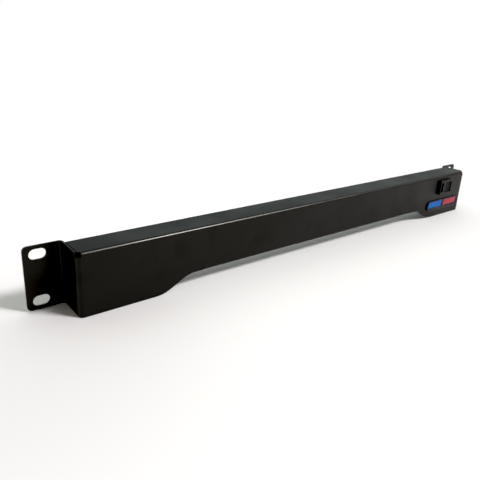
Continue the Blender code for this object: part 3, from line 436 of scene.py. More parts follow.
def powder_coat(name, dark, light, gloss=0.0):
    """Satin black powder coat: orange peel, cloudy gloss, smudges, a few specks, and glossier bends."""
    finish = Finish(name)
    peel = finish.noise(0.9, 1.0)
    grain = finish.noise(0.22, 2.0)
    clouds = finish.noise(38.0, 3.0)
    smudges = finish.spread(finish.noise(18.0, 1.5), 0.25, 0.55, 1.0, 0.0)
    colour = finish.blend(finish.spread(grain, 0.3, 0.7, 0.0, 1.0), dark, light)
    specks = finish.spread(finish.cells(9.0), 0.0, 0.022, 1.0, 0.0)
    rare = finish.spread(finish.noise(14.0, 0.0), 0.56, 0.6, 0.0, 0.5)
    colour = finish.blend(finish.sum_of(specks, rare, "MULTIPLY"), colour, (0.09, 0.09, 0.085))
    bends = finish.upper_bends()
    rough = finish.spread(clouds, 0.3, 0.7, 0.40 - gloss, 0.50 - gloss)
    rough = finish.sum_of(rough, finish.spread(grain, 0.3, 0.7, -0.03, 0.03))
    rough = finish.sum_of(rough, finish.spread(bends, 0.0, 1.0, 0.0, -0.12))
    level = finish.spread(smudges, 0.0, 1.0, 0.27, 0.235)
    level = finish.sum_of(level, finish.spread(bends, 0.0, 1.0, 0.0, 0.28))
    finish.set(Base_Color=colour, Roughness=rough, Specular_IOR_Level=level)
    finish.set(Specular_Tint=(1.0, 0.96, 0.90, 1.0))
    finish.relief((peel, 0.010), (grain, 0.003))
    return finish.material


def moulded_plastic(name, colour, rough, grain_size=0.18, depth=0.004, level=0.3):
    """Spark-textured thermoplastic with faint flow marks."""
    finish = Finish(name)
    grain = finish.noise(grain_size, 2.0)
    flow = finish.noise(6.0, 2.0, finish.stretched((1.0, 1.0, 3.0)))
    lighter = tuple(channel * 1.5 + 0.001 for channel in colour)
    shade = finish.blend(finish.spread(flow, 0.35, 0.65, 0.0, 1.0), colour, lighter)
    sheen = finish.sum_of(
        finish.spread(flow, 0.3, 0.7, rough - 0.04, rough + 0.04),
        finish.spread(grain, 0.3, 0.7, -0.04, 0.04),
    )
    finish.set(Base_Color=shade, Roughness=sheen, Specular_IOR_Level=level)
    finish.relief((grain, depth))
    return finish.material


def drawn_metal(name, colour, tarnish, rough, along=(1.0, 1.0, 1.0), stain_size=5.0):
    """Metal with drawing lines, a varying polish and patches of tarnish."""
    finish = Finish(name)
    lines = finish.noise(0.12, 2.0, finish.stretched(along))
    stains = finish.noise(stain_size, 4.0, rough=0.6)
    shade = finish.blend(finish.spread(stains, 0.48, 0.7, 0.0, 0.7), colour, tarnish)
    polish = finish.sum_of(
        finish.spread(stains, 0.35, 0.7, rough - 0.05, rough + 0.15),
        finish.spread(lines, 0.3, 0.7, -0.05, 0.05),
    )
    finish.set(Base_Color=shade, Metallic=1.0, Roughness=polish)
    finish.relief((lines, 0.003))
    return finish.material


def wire_insulation(name, colour, stripe=None):
    """Soft extruded insulation, with a second colour along one side of an earth wire."""
    finish = Finish(name)
    fine = finish.noise(0.3, 2.0)
    worn = tuple(channel * 0.8 for channel in colour)
    shade = finish.blend(finish.spread(fine, 0.35, 0.65, 0.0, 1.0), colour, worn)
    if stripe:
        normal = finish.node("ShaderNodeNewGeometry").outputs["Normal"]
        up = finish.node("ShaderNodeSeparateXYZ", {"Vector": normal}).outputs["Z"]
        shade = finish.blend(finish.spread(up, 0.25, 0.35, 0.0, 1.0), shade, stripe)
    finish.set(Base_Color=shade, Roughness=finish.spread(fine, 0.3, 0.7, 0.42, 0.55))
    finish.relief((fine, 0.01))
    return finish.material


def fibre_card(name):
    """Pressed insulating card with short fibres."""
    finish = Finish(name)
    fibres = finish.noise(0.5, 4.0, finish.stretched((0.3, 1.0, 1.0)))
    mottle = finish.noise(12.0, 3.0)
    spacing = finish.spread(fibres, 0.3, 0.7, 0.0, 1.0)
    shade = finish.blend(spacing, (0.52, 0.49, 0.41), (0.68, 0.66, 0.58))
    shade = finish.blend(finish.spread(mottle, 0.4, 0.8, 0.0, 0.4), shade, (0.45, 0.42, 0.34))
    finish.set(Base_Color=shade, Roughness=finish.spread(fibres, 0.3, 0.7, 0.7, 0.9))
    finish.relief((fibres, 0.02))
    return finish.material


def clear_glass(name):
    """Slightly green glass with faint smears."""
    finish = Finish(name)
    smears = finish.noise(2.0, 3.0)
    smeared = finish.spread(smears, 0.4, 0.7, 0.0, 1.0)
    tint = finish.blend(smeared, (0.86, 0.93, 0.90), (0.80, 0.88, 0.85))
    finish.set(Base_Color=tint, Roughness=finish.spread(smears, 0.4, 0.7, 0.02, 0.12))
    finish.set(Transmission_Weight=1.0)
    finish.relief((smears, 0.004))
    return finish.material


def badge_print(name, colour, shade):
    """Coloured print under a clear coat, with the print's fine dots."""
    finish = Finish(name)
    dots = finish.cells(0.35)
    haze = finish.noise(3.0, 2.0)
    tone = finish.blend(finish.spread(dots, 0.2, 0.5, 0.0, 0.5), colour, shade)
    tone = finish.blend(finish.spread(haze, 0.4, 0.8, 0.0, 0.35), tone, shade)
    finish.set(Base_Color=tone, Roughness=finish.spread(haze, 0.3, 0.7, 0.30, 0.42))
    finish.set(Specular_IOR_Level=0.12, Coat_Weight=0.06, Coat_Roughness=0.12)
    finish.relief((dots, 0.002))
    return finish.material


# Folded sheet metal


def follow(legs, distance):
    """The point and heading at a distance along a folded strip.

    Each leg is a straight length and the radius of the quarter bend after it, at the middle of the
    sheet. The radius is negative for a bend the other way, and 0 for none.
    """
    point, heading = Vector((0.0, 0.0)), 0.0
    for straight, radius in legs:
        step = min(distance, straight)
        point += step * Vector((cos(heading), sin(heading)))
        distance -= step
        if distance <= 0 or not radius:
            break
        length = abs(radius) * QUARTER
        centre = point + radius * Vector((-sin(heading), cos(heading)))
        heading += copysign(QUARTER, radius) * min(distance / length, 1.0)
        point = centre - radius * Vector((-sin(heading), cos(heading)))
        distance -= length
        if distance <= 0:
            break
    return point, heading


def bend_lines(legs):
    """Distances along the legs at which the flat blank is creased."""
    lines, start = [], 0.0
    for straight, radius in legs:
        start += straight
        if radius:
            length = abs(radius) * QUARTER
            lines += [start + length * i / BEND_STEPS for i in range(BEND_STEPS + 1)]
            start += length
    return lines


def flat_blank(outline, holes, creases_u, creases_v):
    """The blank as a flat mesh, cut along its crease lines."""
    blank = bmesh.new()
    edges = []
    for loop in (outline, *holes):
        ring = [blank.verts.new((u, v, 0.0)) for u, v in loop]
        edges += [blank.edges.new(pair) for pair in zip(ring, ring[1:] + ring[:1])]
    bmesh.ops.triangle_fill(blank, edges=edges, use_beauty=True)
    for direction, creases in ((Vector((1, 0, 0)), creases_u), (Vector((0, 1, 0)), creases_v)):
        for crease in creases:
            bmesh.ops.bisect_plane(
                blank,
                geom=blank.verts[:] + blank.edges[:] + blank.faces[:],
                dist=1e-4,
                plane_co=direction * crease,
                plane_no=direction,
            )
    return blank


def folded_sheet(blank, fold):
    """Folds a flat blank and gives it the sheet's thickness. fold gives (u, v)'s point and normal."""
    sheet = bmesh.new()
    outside, inside = {}, {}
    for vertex in blank.verts:
        point, normal = fold(vertex.co.x, vertex.co.y)
        outside[vertex] = sheet.verts.new(point + normal * SHEET / 2)
        inside[vertex] = sheet.verts.new(point - normal * SHEET / 2)
    for face in blank.faces:
        sheet.faces.new([outside[v] for v in face.verts])
        sheet.faces.new([inside[v] for v in reversed(face.verts)])
    for edge in blank.edges:
        if edge.is_boundary:
            a, b = edge.verts
            sheet.faces.new((outside[a], outside[b], inside[b], inside[a]))
    blank.free()
    return sheet


# Front panel: front face, top flange, side walls and ears from one blank. In the blank, u runs
# across and v up, and both equal x and z on the front face.

SIDE_LEGS = [
    (BODY_WIDTH / 2 - SIDE_RADIUS, SIDE_MID_RADIUS),
    (BODY_DEPTH - 2 * SIDE_RADIUS, -SIDE_MID_RADIUS),
    (PANEL_WIDTH, 0.0),
]
TOP_LEGS = [(PANEL_HEIGHT - BEND_RADIUS, MID_RADIUS), (TOP_FLANGE_DEPTH, 0.0)]
RETURN_LEGS = [(MID_HEIGHT - RETURN_Z - BEND_RADIUS, MID_RADIUS), (RETURN_DEPTH, 0.0)]
EAR_START_X = BODY_WIDTH / 2 - SHEET + SIDE_RADIUS
EAR_START_U = SIDE_LEGS[0][0] + SIDE_LEGS[1][0] + 2 * SIDE_BEND_LENGTH
TOP_FOLD_V = TOP_LEGS[0][0]
RETURN_FOLD_V = RETURN_Z + BEND_RADIUS
FLANGE_HALF = BODY_WIDTH / 2 - FLANGE_END_GAP


def ear_u(x):
    """Where a point of an ear, at x, lies across the blank."""
    return EAR_START_U + x - EAR_START_X


def fold_front_panel(u, v):
    if abs(u) <= FLANGE_HALF + GAP and v > TOP_FOLD_V:
        (z, y), heading = follow(TOP_LEGS, v)
        return Vector((u, FRONT_MID_Y + y, z)), Vector((0, -cos(heading), sin(heading)))
    if abs(u) <= RETURN_HALF + GAP and v < RETURN_FOLD_V:
        (down, y), heading = follow(RETURN_LEGS, MID_HEIGHT - v)
        normal = Vector((0, -cos(heading), -sin(heading)))
        return Vector((u, FRONT_MID_Y + y, MID_HEIGHT - down)), normal
    side = copysign(1, u)
    (x, y), heading = follow(SIDE_LEGS, abs(u))
    return Vector((side * x, FRONT_MID_Y + y, v)), Vector((side * sin(heading), -cos(heading), 0))


def foot_curve():
    """The right foot's edge, from the ground up to the raised middle: two arcs joined by a slope."""
    both_radii = LOWER_RADIUS + UPPER_RADIUS
    slope_rise = RAISED_Z - both_radii * (1 - cos(FOOT_SLOPE))
    foot_x = RAISED_HALF + both_radii * sin(FOOT_SLOPE) + slope_rise / tan(FOOT_SLOPE)
    steps = 2 * CORNER_STEPS
    lower = arc((foot_x, LOWER_RADIUS), LOWER_RADIUS, -QUARTER, -QUARTER - FOOT_SLOPE, steps)
    upper_centre = (RAISED_HALF, RAISED_Z - UPPER_RADIUS)
    return lower + arc(upper_centre, UPPER_RADIUS, QUARTER - FOOT_SLOPE, QUARTER, steps)


def front_panel_half_outline():
    """The right half of the blank's edge, from the top flange round to the return flange."""
    notch_u = BODY_WIDTH / 2 - NOTCH_WIDTH
    notch_low = PANEL_HEIGHT - NOTCH_HEIGHT
    notch_top = TOP_FOLD_V + BEND_LENGTH + NOTCH_MARGIN
    notch_side = SIDE_LEGS[0][0] + SIDE_BEND_LENGTH + NOTCH_MARGIN
    flange_end = TOP_FOLD_V + BEND_LENGTH + TOP_FLANGE_DEPTH - BEND_RADIUS
    return_end = RETURN_FOLD_V - BEND_LENGTH - RETURN_DEPTH + BEND_RADIUS
    ear_in = ear_u(PANEL_WIDTH / 2) - EAR_CORNER
    top_corner = (FLANGE_HALF - BLANK_CORNER, flange_end - BLANK_CORNER)
    points = arc(top_corner, BLANK_CORNER, QUARTER, 0.0, CORNER_STEPS)
    points += [(FLANGE_HALF, notch_top), (notch_u, notch_top), (notch_u, notch_low)]
    points += [(notch_side, notch_low), (notch_side, PANEL_HEIGHT)]
    points += arc((ear_in, PANEL_HEIGHT - EAR_CORNER), EAR_CORNER, QUARTER, 0.0, CORNER_STEPS)
    points += arc((ear_in, EAR_CORNER), EAR_CORNER, 0.0, -QUARTER, CORNER_STEPS)
    points += foot_curve()
    points += [(RETURN_HALF + RELIEF_WIDTH, RAISED_Z), (RETURN_HALF + RELIEF_WIDTH, RELIEF_Z)]
    points += [(RETURN_HALF, RELIEF_Z)]
    lower_corner = (RETURN_HALF - BLANK_CORNER, return_end + BLANK_CORNER)
    points += arc(lower_corner, BLANK_CORNER, 0.0, -QUARTER, CORNER_STEPS)
    return points


def rack_slot(u, v):
    """A horizontal slot with round ends."""
    width, height = RACK_SLOT
    reach = (width - height) / 2
    right = arc((u + reach, v), height / 2, -QUARTER, QUARTER, 2 * CORNER_STEPS)
    left = arc((u - reach, v), height / 2, QUARTER, 3 * QUARTER, 2 * CORNER_STEPS)
    return right + left


def front_panel_holes():
    holes = []
    for side in (-1, 1):
        for end in (-1, 1):
            holes.append(rack_slot(side * ear_u(RACK_SLOT_X), MID_HEIGHT + end * RACK_SLOT_SPACING / 2))
    width, height = (size + 2 * GAP for size in SWITCH_BODY)
    switch = middle("switch_housing")
    holes.append(rounded_rectangle(width, height, 0.5, (switch.x, switch.z)))
    for screw in SCREWS:
        place = middle(screw)
        hole_v = RETURN_FOLD_V - BEND_LENGTH - (place.y - FRONT_Y - BEND_RADIUS)
        holes.append(circle(SCREW_SHANK + 2 * GAP, (place.x, hole_v)))
    return holes


def build_front_panel(coat, highlight_edge_coat):
    right = front_panel_half_outline()
    outline = right + [(-u, v) for u, v in reversed(right)]
    across = bend_lines(SIDE_LEGS)
    up = bend_lines(TOP_LEGS) + [MID_HEIGHT - line for line in bend_lines(RETURN_LEGS)]
    blank = flat_blank(outline, front_panel_holes(), across + [-line for line in across], up)
    sheet = folded_sheet(blank, fold_front_panel)
    add_piece("front_panel_sheet", sheet, [coat, highlight_edge_coat], "housing", "front_panel", ["front_panel"])


# Rear cover: floor, rear panel and top lip. In its blank, u equals x and v runs from the floor's
# front edge round to the lip's.

COVER_LEGS = [
    (REAR_Y - BEND_RADIUS - COVER_LOW.y, MID_RADIUS),
    (COVER_HIGH.z - COVER_LOW.z - 2 * BEND_RADIUS, MID_RADIUS),
    (REAR_Y - BEND_RADIUS - COVER_LIP_Y, 0.0),
]


def fold_rear_cover(u, v):
    (y, z), heading = follow(COVER_LEGS, v)
    point = Vector((u, COVER_LOW.y + y, COVER_LOW.z + SHEET / 2 + z))
    return point, Vector((0, sin(heading), -cos(heading)))


def rear_cover_holes():
    row_v = COVER_LEGS[0][0] + BEND_LENGTH + ROW_Z - COVER_LOW.z - BEND_RADIUS
    holes = []
    bodies = [(outlet, OUTLET_BODY) for outlet in OUTLETS] + [("inlet_housing", INLET_BODY)]
    for node, (width, height) in bodies:
        centre = (middle(node).x, row_v)
        holes.append(rounded_rectangle(width + 2 * GAP, height + 2 * GAP, BLANK_CORNER, centre))
    for screw in SCREWS:
        place = middle(screw)
        holes.append(circle(SCREW_SHANK + GAP, (place.x, place.y - COVER_LOW.y)))
    return holes


def build_rear_cover(coat, highlight_edge_coat):
    length = sum(straight for straight, _ in COVER_LEGS) + 2 * BEND_LENGTH
    outline = rounded_rectangle(2 * COVER_HIGH.x, length, BLANK_CORNER, (0.0, length / 2))
    blank = flat_blank(outline, rear_cover_holes(), [], bend_lines(COVER_LEGS))
    sheet = folded_sheet(blank, fold_rear_cover)
    add_piece("rear_cover_sheet", sheet, [coat, highlight_edge_coat], "housing", "rear_cover", ["rear_cover"])


def build_cover_screws(steel):
    """Button-head screws with hexagonal sockets, seen from below."""
    low, high = box(SCREWS[0])
    head = (high.x - low.x) / 2
    head_top = RETURN_Z - GAP
    across_flats, depth = SCREW_SOCKET
    socket = hexagon(across_flats)
    levels = [(socket, low.z + depth), (socket, low.z)]
    for step in range(CORNER_STEPS + 1):
        angle = QUARTER * step / CORNER_STEPS
        radius = head * (SCREW_CROWN + (1 - SCREW_CROWN) * sin(angle))
        levels.append((circle(radius), low.z + SCREW_DOME * (1 - cos(angle))))
    levels += [
        (circle(head), head_top),
        (circle(SCREW_SHANK), head_top),
        (circle(SCREW_SHANK), high.z - SCREW_CHAMFER),
        (circle(SCREW_SHANK - SCREW_CHAMFER), high.z),
    ]
    mesh = finished_mesh("cover_screw", pierced_stack(levels))
    for node in SCREWS:
        centre = middle(node)
        place = (centre.x, centre.y, 0)
        add_piece(f"{node}_head", mesh, [steel], "housing", "zinc_steel", [node], place, edge=0.08)


# Outlets, inlet and fuse drawer


def keyed_outline(size, radius, key, centre=(0.0, 0.0)):
    """A rounded rectangle with its two upper corners cut back further, which keys the plug."""
    return rounded_rectangle(*size, (radius, key, key, radius), centre)


def flanged_levels(flange, front, body, back):
    """A flange with a sloped rim and a body behind it, from the flange's face backwards."""
    face = tuple(size - 2 * FLANGE_INSET for size in flange)
    edge = rounded_rectangle(*flange, FLANGE_CORNER)
    inner = rounded_rectangle(*body, BLANK_CORNER)
    return [
        (rounded_rectangle(*face, FLANGE_CORNER - FLANGE_INSET), front),
        (edge, front - FLANGE_SLOPE),
        (edge, GAP),
        (inner, GAP),
        (inner, back),
    ]


def build_outlets(plastic):
    low, high = box(OUTLETS[0])
    front, back = high.y - REAR_Y, low.y - REAR_Y
    flange = (high.x - low.x, high.z - low.z)
    block = keyed_outline(OUTLET_BLOCK, 1.0, KEY_CORNER)
    moat = keyed_outline(OUTLET_MOAT, 1.5, KEY_CORNER)
    floor = front - MOAT_DEPTH
    levels = [(block, front), (block, floor), (moat, floor), (moat, front)]
    levels += flanged_levels(flange, front, OUTLET_BODY, back)
    slots = [rounded_rectangle(*CONTACT_SLOT, 0.3, place) for place in CONTACTS]
    mesh = finished_mesh("outlet", pierced_stack(levels, slots))
    for node in OUTLETS:
        place = (middle(node).x, REAR_Y, ROW_Z)
        name = node.replace("outlet", "outlet_socket")
        add_piece(name, mesh, [plastic], "housing", "outlet_plastic", [node], place, REAR_FACING, 0.25)


def build_inlet(plastic, nickel):
    low, high = box("inlet_housing")
    inlet = middle("inlet_housing")
    front, back = high.y - REAR_Y, low.y - REAR_Y
    cavity_x = inlet.x - middle("inlet_earth_pin").x
    bay_x = inlet.x - middle("fuse_drawer").x
    cavity = keyed_outline(CAVITY, 1.5, KEY_CORNER, (cavity_x, 0.0))
    bay = rounded_rectangle(*BAY, 0.6, (bay_x, 0.0))
    pin = extent("inlet_earth_pin")
    hole = (pin.x + 2 * GAP, pin.z + 2 * GAP)
    pin_holes = [rounded_rectangle(*hole, 0.4, (cavity_x + x, z)) for x, z in CONTACTS]
    flange = (high.x - low.x, high.z - low.z)
    bm = bmesh.new()
    shell = add_stack(bm, flanged_levels(flange, front, INLET_BODY, back))
    well = add_stack(bm, [(cavity, front), (cavity, CAVITY_FLOOR)])
    pocket = add_stack(bm, [(bay, front), (bay, BAY_FLOOR)])
    tunnels = [add_stack(bm, [(outline, CAVITY_FLOOR), (outline, back)]) for outline in pin_holes]
    add_cap(bm, shell[0], well[0], pocket[0])
    add_cap(bm, well[-1], *[tunnel[0] for tunnel in tunnels])
    add_cap(bm, pocket[-1])
    add_cap(bm, shell[-1], *[tunnel[-1] for tunnel in tunnels])
    place = (inlet.x, REAR_Y, ROW_Z)
    nodes = ["inlet_housing"]
    add_piece("inlet_shell", bm, [plastic], "housing", "inlet_plastic", nodes, place, REAR_FACING, 0.25)
    tail, tip = (corner.y - REAR_Y for corner in box("inlet_earth_pin"))
    narrowing, length = PIN_TIP
    full = rounded_rectangle(pin.x, pin.z, 0.3)
    blunt = rounded_rectangle(pin.x - 2 * narrowing, pin.z - 2 * narrowing, 0.3)
    levels = [(full, tail), (full, tip - length), (blunt, tip)]
    mesh = finished_mesh("inlet_pin", pierced_stack(levels))
    for contact in ("live", "neutral", "earth"):
        node = f"inlet_{contact}_pin"
        centre = middle(node)
        place = (centre.x, REAR_Y, centre.z)
        name = f"{node}_blade"
        add_piece(name, mesh, [nickel], "housing", "nickel", [node], place, REAR_FACING, edge=0.12)


def grip_outline(inset):
    width, height = (size - 2 * inset for size in GRIP)
    return rounded_rectangle(width, height, GRIP_CORNER - inset)


def build_fuse_drawer(plastic):
    """The tray with its fuse pocket, and a ridged grip on its end."""
    low, high = box("fuse_drawer")
    centre = middle("fuse_drawer")
    front = box("inlet_housing")[1].y
    half_width = (high.x - low.x) / 2
    outline = rounded_rectangle(front - low.y, high.z - low.z, 0.4, ((front + low.y) / 2, 0.0))
    pocket = rounded_rectangle(*FUSE_POCKET, 0.4, (middle("fuse_tube").y, 0.0))
    levels = [
        (pocket, TRAY_FLOOR - half_width),
        (pocket, half_width),
        (outline, half_width),
        (outline, -half_width),
    ]
    tray = finished_mesh("fuse_tray", pierced_stack(levels))
    tray.materials.append(plastic)
    drawer = place_object("fuse_tray", tray, (centre.x, 0.0, ROW_Z), EDGEWISE)
    face, reach = front - REAR_Y, high.y - REAR_Y
    pitch = (reach - face) / (GRIP_GROOVES + 1)
    full, bed = grip_outline(0.0), grip_outline(GROOVE_DEPTH)
    ridges = [(full, face - GRIP_ROOT)]
    for groove in range(1, GRIP_GROOVES + 1):
        depth = face + pitch * groove
        ridges += [(full, depth - GROOVE_MOUTH), (bed, depth - GROOVE_BED)]
        ridges += [(bed, depth + GROOVE_BED), (full, depth + GROOVE_MOUTH)]
    ridges += [(full, reach - GRIP_CHAMFER), (grip_outline(GRIP_CHAMFER), reach)]
    grip_mesh = finished_mesh("fuse_grip", pierced_stack(ridges))
    grip = place_object("fuse_grip", grip_mesh, (centre.x, REAR_Y, ROW_Z), REAR_FACING)
    carve(drawer, grip, "UNION")
    soften(drawer, 0.12)
    seat(drawer, "fuse_drawer", "drawer_plastic", "fuse_drawer")


# Rocker switch


def build_switch_housing(plastic):
    low, high = box("switch_housing")
    centre = middle("switch_housing")
    bezel = (high.x - low.x, high.z - low.z)
    proud, back = FRONT_Y - low.y, FRONT_Y - high.y
    well = rounded_rectangle(*SWITCH_WELL, 0.6)
    body = rounded_rectangle(*SWITCH_BODY, 0.5)
    edge = rounded_rectangle(*bezel, BEZEL_CORNER)
    face = tuple(size - 2 * BEZEL_CHAMFER for size in bezel)
    levels = [
        (well, WELL_FLOOR),
        (well, proud),
        (rounded_rectangle(*face, BEZEL_CORNER - BEZEL_CHAMFER), proud),
        (edge, proud - BEZEL_CHAMFER),
        (edge, GAP),
        (body, GAP),
        (body, back),
    ]
    slots = [rounded_rectangle(*TERMINAL_SLOT, 0.2, (x, 0.0)) for x in (0.0, LOAD_TERMINAL_X)]
    bm = bmesh.new()
    shell = add_stack(bm, levels)
    tunnels = [add_stack(bm, [(hole, WELL_FLOOR), (hole, back)]) for hole in slots]
    add_cap(bm, shell[0], *[tunnel[0] for tunnel in tunnels])
    add_cap(bm, shell[-1], *[tunnel[-1] for tunnel in tunnels])
    mesh = finished_mesh("switch_bezel", bm)
    mesh.materials.append(plastic)
    housing = place_object("switch_bezel", mesh, (centre.x, FRONT_Y, centre.z), FRONT_FACING)
    radius, half = TRUNNION
    bearing = finished_mesh("bearing", extrusion(circle(radius + GAP), -half - GAP, half + GAP))
    carve(housing, place_object("bearing", bearing, pivot("rocker_tilt")), "DIFFERENCE")
    soften(housing, 0.18)
    seat(housing, "housing", "switch_plastic", "switch_housing")


def rocker_profile():
    """The rocker seen from above in its middle position, about its pivot, with a dip in each half."""
    ridge = ROCKER_RADIUS * (sin(ROCKER_END) - cos(ROCKER_END) * tan(ROCKER_TILT))
    end_x, end_y = ROCKER_RADIUS * cos(ROCKER_END), ROCKER_RADIUS * sin(ROCKER_END)
    face = []
    for i in range(1, 2 * CORNER_STEPS):
        share = i / (2 * CORNER_STEPS)
        dip = ROCKER_HOLLOW * sin(pi * share) ** 2
        face.append((end_x * share, -ridge - (end_y - ridge) * share + dip))
    hem = ROCKER_RADIUS * sin(ROCKER_SKIRT)
    half = face + arc((0.0, 0.0), ROCKER_RADIUS, -ROCKER_END, ROCKER_SKIRT, 2 * CORNER_STEPS)
    foot_x, foot_rise = POST_FOOT
    half += [(ROCKER_HEM, hem), (foot_x, hem + foot_rise), ROCKER_POST]
    left = [(-x, y) for x, y in reversed(half)]
    return [(0.0, -ridge)] + half + left


def build_switch_rocker(plastic, highlight_edge_plastic):
    solid = extrusion(rocker_profile(), -ROCKER_WIDTH / 2, ROCKER_WIDTH / 2)
    mesh = finished_mesh("switch_rocker_cap", solid)
    mesh.materials.append(plastic)
    mesh.materials.append(highlight_edge_plastic)
    tilt = (0.0, 0.0, ROCKER_TILT)
    rocker = place_object("switch_rocker_cap", mesh, pivot("rocker_tilt"), tilt)
    radius, half = TRUNNION
    axle = finished_mesh("trunnions", extrusion(circle(radius), -half, half))
    carve(rocker, place_object("trunnions", axle, pivot("rocker_tilt"), tilt), "UNION")
    # the rounded edges take the second material, a painted highlight
    soften(rocker, 0.35, edge_material=True)
    seat(rocker, "rocker", "rocker_plastic", "switch_rocker")


# Badge: a pill with a thin raised rim, five slanted bars of each colour and a stripe under them

BADGE_RECESS = 0.25  # from the rim's face to the plate's
BADGE_EDGE = [(0.0, 0.55), (0.12, 0.35), (0.35, BADGE_RECESS)]  # the plate's inset and depth
RIM_OUTSIDE = 0.6  # from the plate's edge
RIM_INSIDE = 0.95
PRINT_LIFT = (0.01, 0.13)  # foot and top of the print, above the plate's face
PILL_STRAIGHT = 0.02  # keeps a sliver of straight end between the two corners
BAR_COUNT = 5
BAR_PITCH = 4.6
BAR_WIDTH = 3.7
BAR_LEAN = 1.8
BAR_FOOT = -1.9
BAR_HEAD = 4.1
BLUE_START = -26.6
RED_START = 0.4
STRIPE = (26.0, 0.6)
STRIPE_PLACE = (-8.0, -3.3)


def pill(size, inset=0.0):
    width, height = (value - 2 * inset for value in size)
    return rounded_rectangle(width, height, height / 2 - PILL_STRAIGHT, steps=2 * CORNER_STEPS)


def slanted_bars(first, low, high):
    """Parallel bars that lean to the right, the first with its foot's left end at x = first."""
    bars = bmesh.new()
    for index in range(BAR_COUNT):
        left = first + BAR_PITCH * index
        right = left + BAR_WIDTH
        outline = [(left, BAR_FOOT), (right, BAR_FOOT)]
        outline += [(right + BAR_LEAN, BAR_HEAD), (left + BAR_LEAN, BAR_HEAD)]
        add_extrusion(bars, outline, low, high)
    return bars


def build_badge(body_print, rim_print, blue_print, red_print):
    low, high = box("badge")
    centre = middle("badge")
    size = (high.x - low.x, high.z - low.z)
    back, front = FRONT_Y - high.y, FRONT_Y - low.y
    face = front - BADGE_RECESS
    print_low, print_high = (face + lift for lift in PRINT_LIFT)

    def add(name, shape, material, edge, nodes=()):
        place = (centre.x, FRONT_Y, centre.z)
        add_piece(name, shape, [material], "housing", "badge", nodes, place, FRONT_FACING, edge)

    levels = [(pill(size), back)] + [(pill(size, inset), front - depth) for inset, depth in BADGE_EDGE]
    add("badge_plate", pierced_stack(levels), body_print, 0.05, ["badge"])
    rim = extrusion(pill(size, RIM_OUTSIDE), print_low, front, [pill(size, RIM_INSIDE)])
    add("badge_rim", rim, rim_print, 0.06)
    add("badge_blue_bars", slanted_bars(BLUE_START, print_low, print_high), blue_print, 0.03)
    add("badge_red_bars", slanted_bars(RED_START, print_low, print_high), red_print, 0.03)
    stripe = extrusion(rounded_rectangle(*STRIPE, 0.28, STRIPE_PLACE), print_low, print_high)
    add("badge_stripe", stripe, rim_print, 0.03)


# CAD nodes that stay, which sit inside the housing


def dress(material, *nodes):
    for node in nodes:
        obj = frame["nodes"][node]
        obj.data.materials.clear()
        obj.data.materials.append(material)


def dress_inner_nodes():
    brass = drawn_metal("brass_sheet", (0.72, 0.52, 0.23), (0.42, 0.27, 0.11), 0.28, (0.05, 1.0, 1.0))
    dress(brass, "live_bus_bar", "neutral_bus_bar", "earth_bus_bar")
    dress(brass, "switch_common_terminal", "switch_load_terminal")
    nickel = drawn_metal("nickel_cap", (0.68, 0.66, 0.61), (0.50, 0.48, 0.43), 0.22, (1.0, 1.0, 0.1))
    dress(nickel, "fuse_cap_upper", "fuse_cap_lower")
    dress(clear_glass("fuse_glass"), "fuse_tube")
    zinc = drawn_metal("zinc_plate", (0.62, 0.62, 0.60), (0.45, 0.45, 0.43), 0.32, stain_size=2.5)
    dress(zinc, "earth_stud", "earth_washer", "earth_nut")
    dress(drawn_metal("tinned_copper", (0.66, 0.66, 0.64), (0.55, 0.50, 0.44), 0.3), "earth_tag")
    copper, stain = (0.82, 0.49, 0.30), (0.45, 0.22, 0.12)
    dress(drawn_metal("contact_copper", copper, stain, 0.25, (0.1, 1.0, 1.0)), "switch_lever")
    dress(drawn_metal("spring_wire", (0.52, 0.52, 0.51), (0.34, 0.33, 0.31), 0.25), "switch_spring")
    dress(moulded_plastic("acetal", (0.74, 0.73, 0.68), 0.35, level=0.5), "switch_plunger")
    dress(fibre_card("insulation_card"), "insulation_sheet")
    brown = wire_insulation("brown_insulation", (0.17, 0.06, 0.025))
    dress(brown, "live_supply_wire", "live_switched_wire")
    dress(wire_insulation("blue_insulation", (0.02, 0.11, 0.42)), "neutral_wire")
    earth = wire_insulation("green_insulation", (0.04, 0.30, 0.06), (0.72, 0.60, 0.04))
    dress(earth, "earth_inlet_wire", "earth_bond_wire")


# Stage, light and camera, placed in metres


FLOOR_Z = -0.0002  # just clear of the feet
LEFT_END = Vector((-0.30, -0.03, 0.0))  # centre of a painted shadow: the floor is a little darker around here
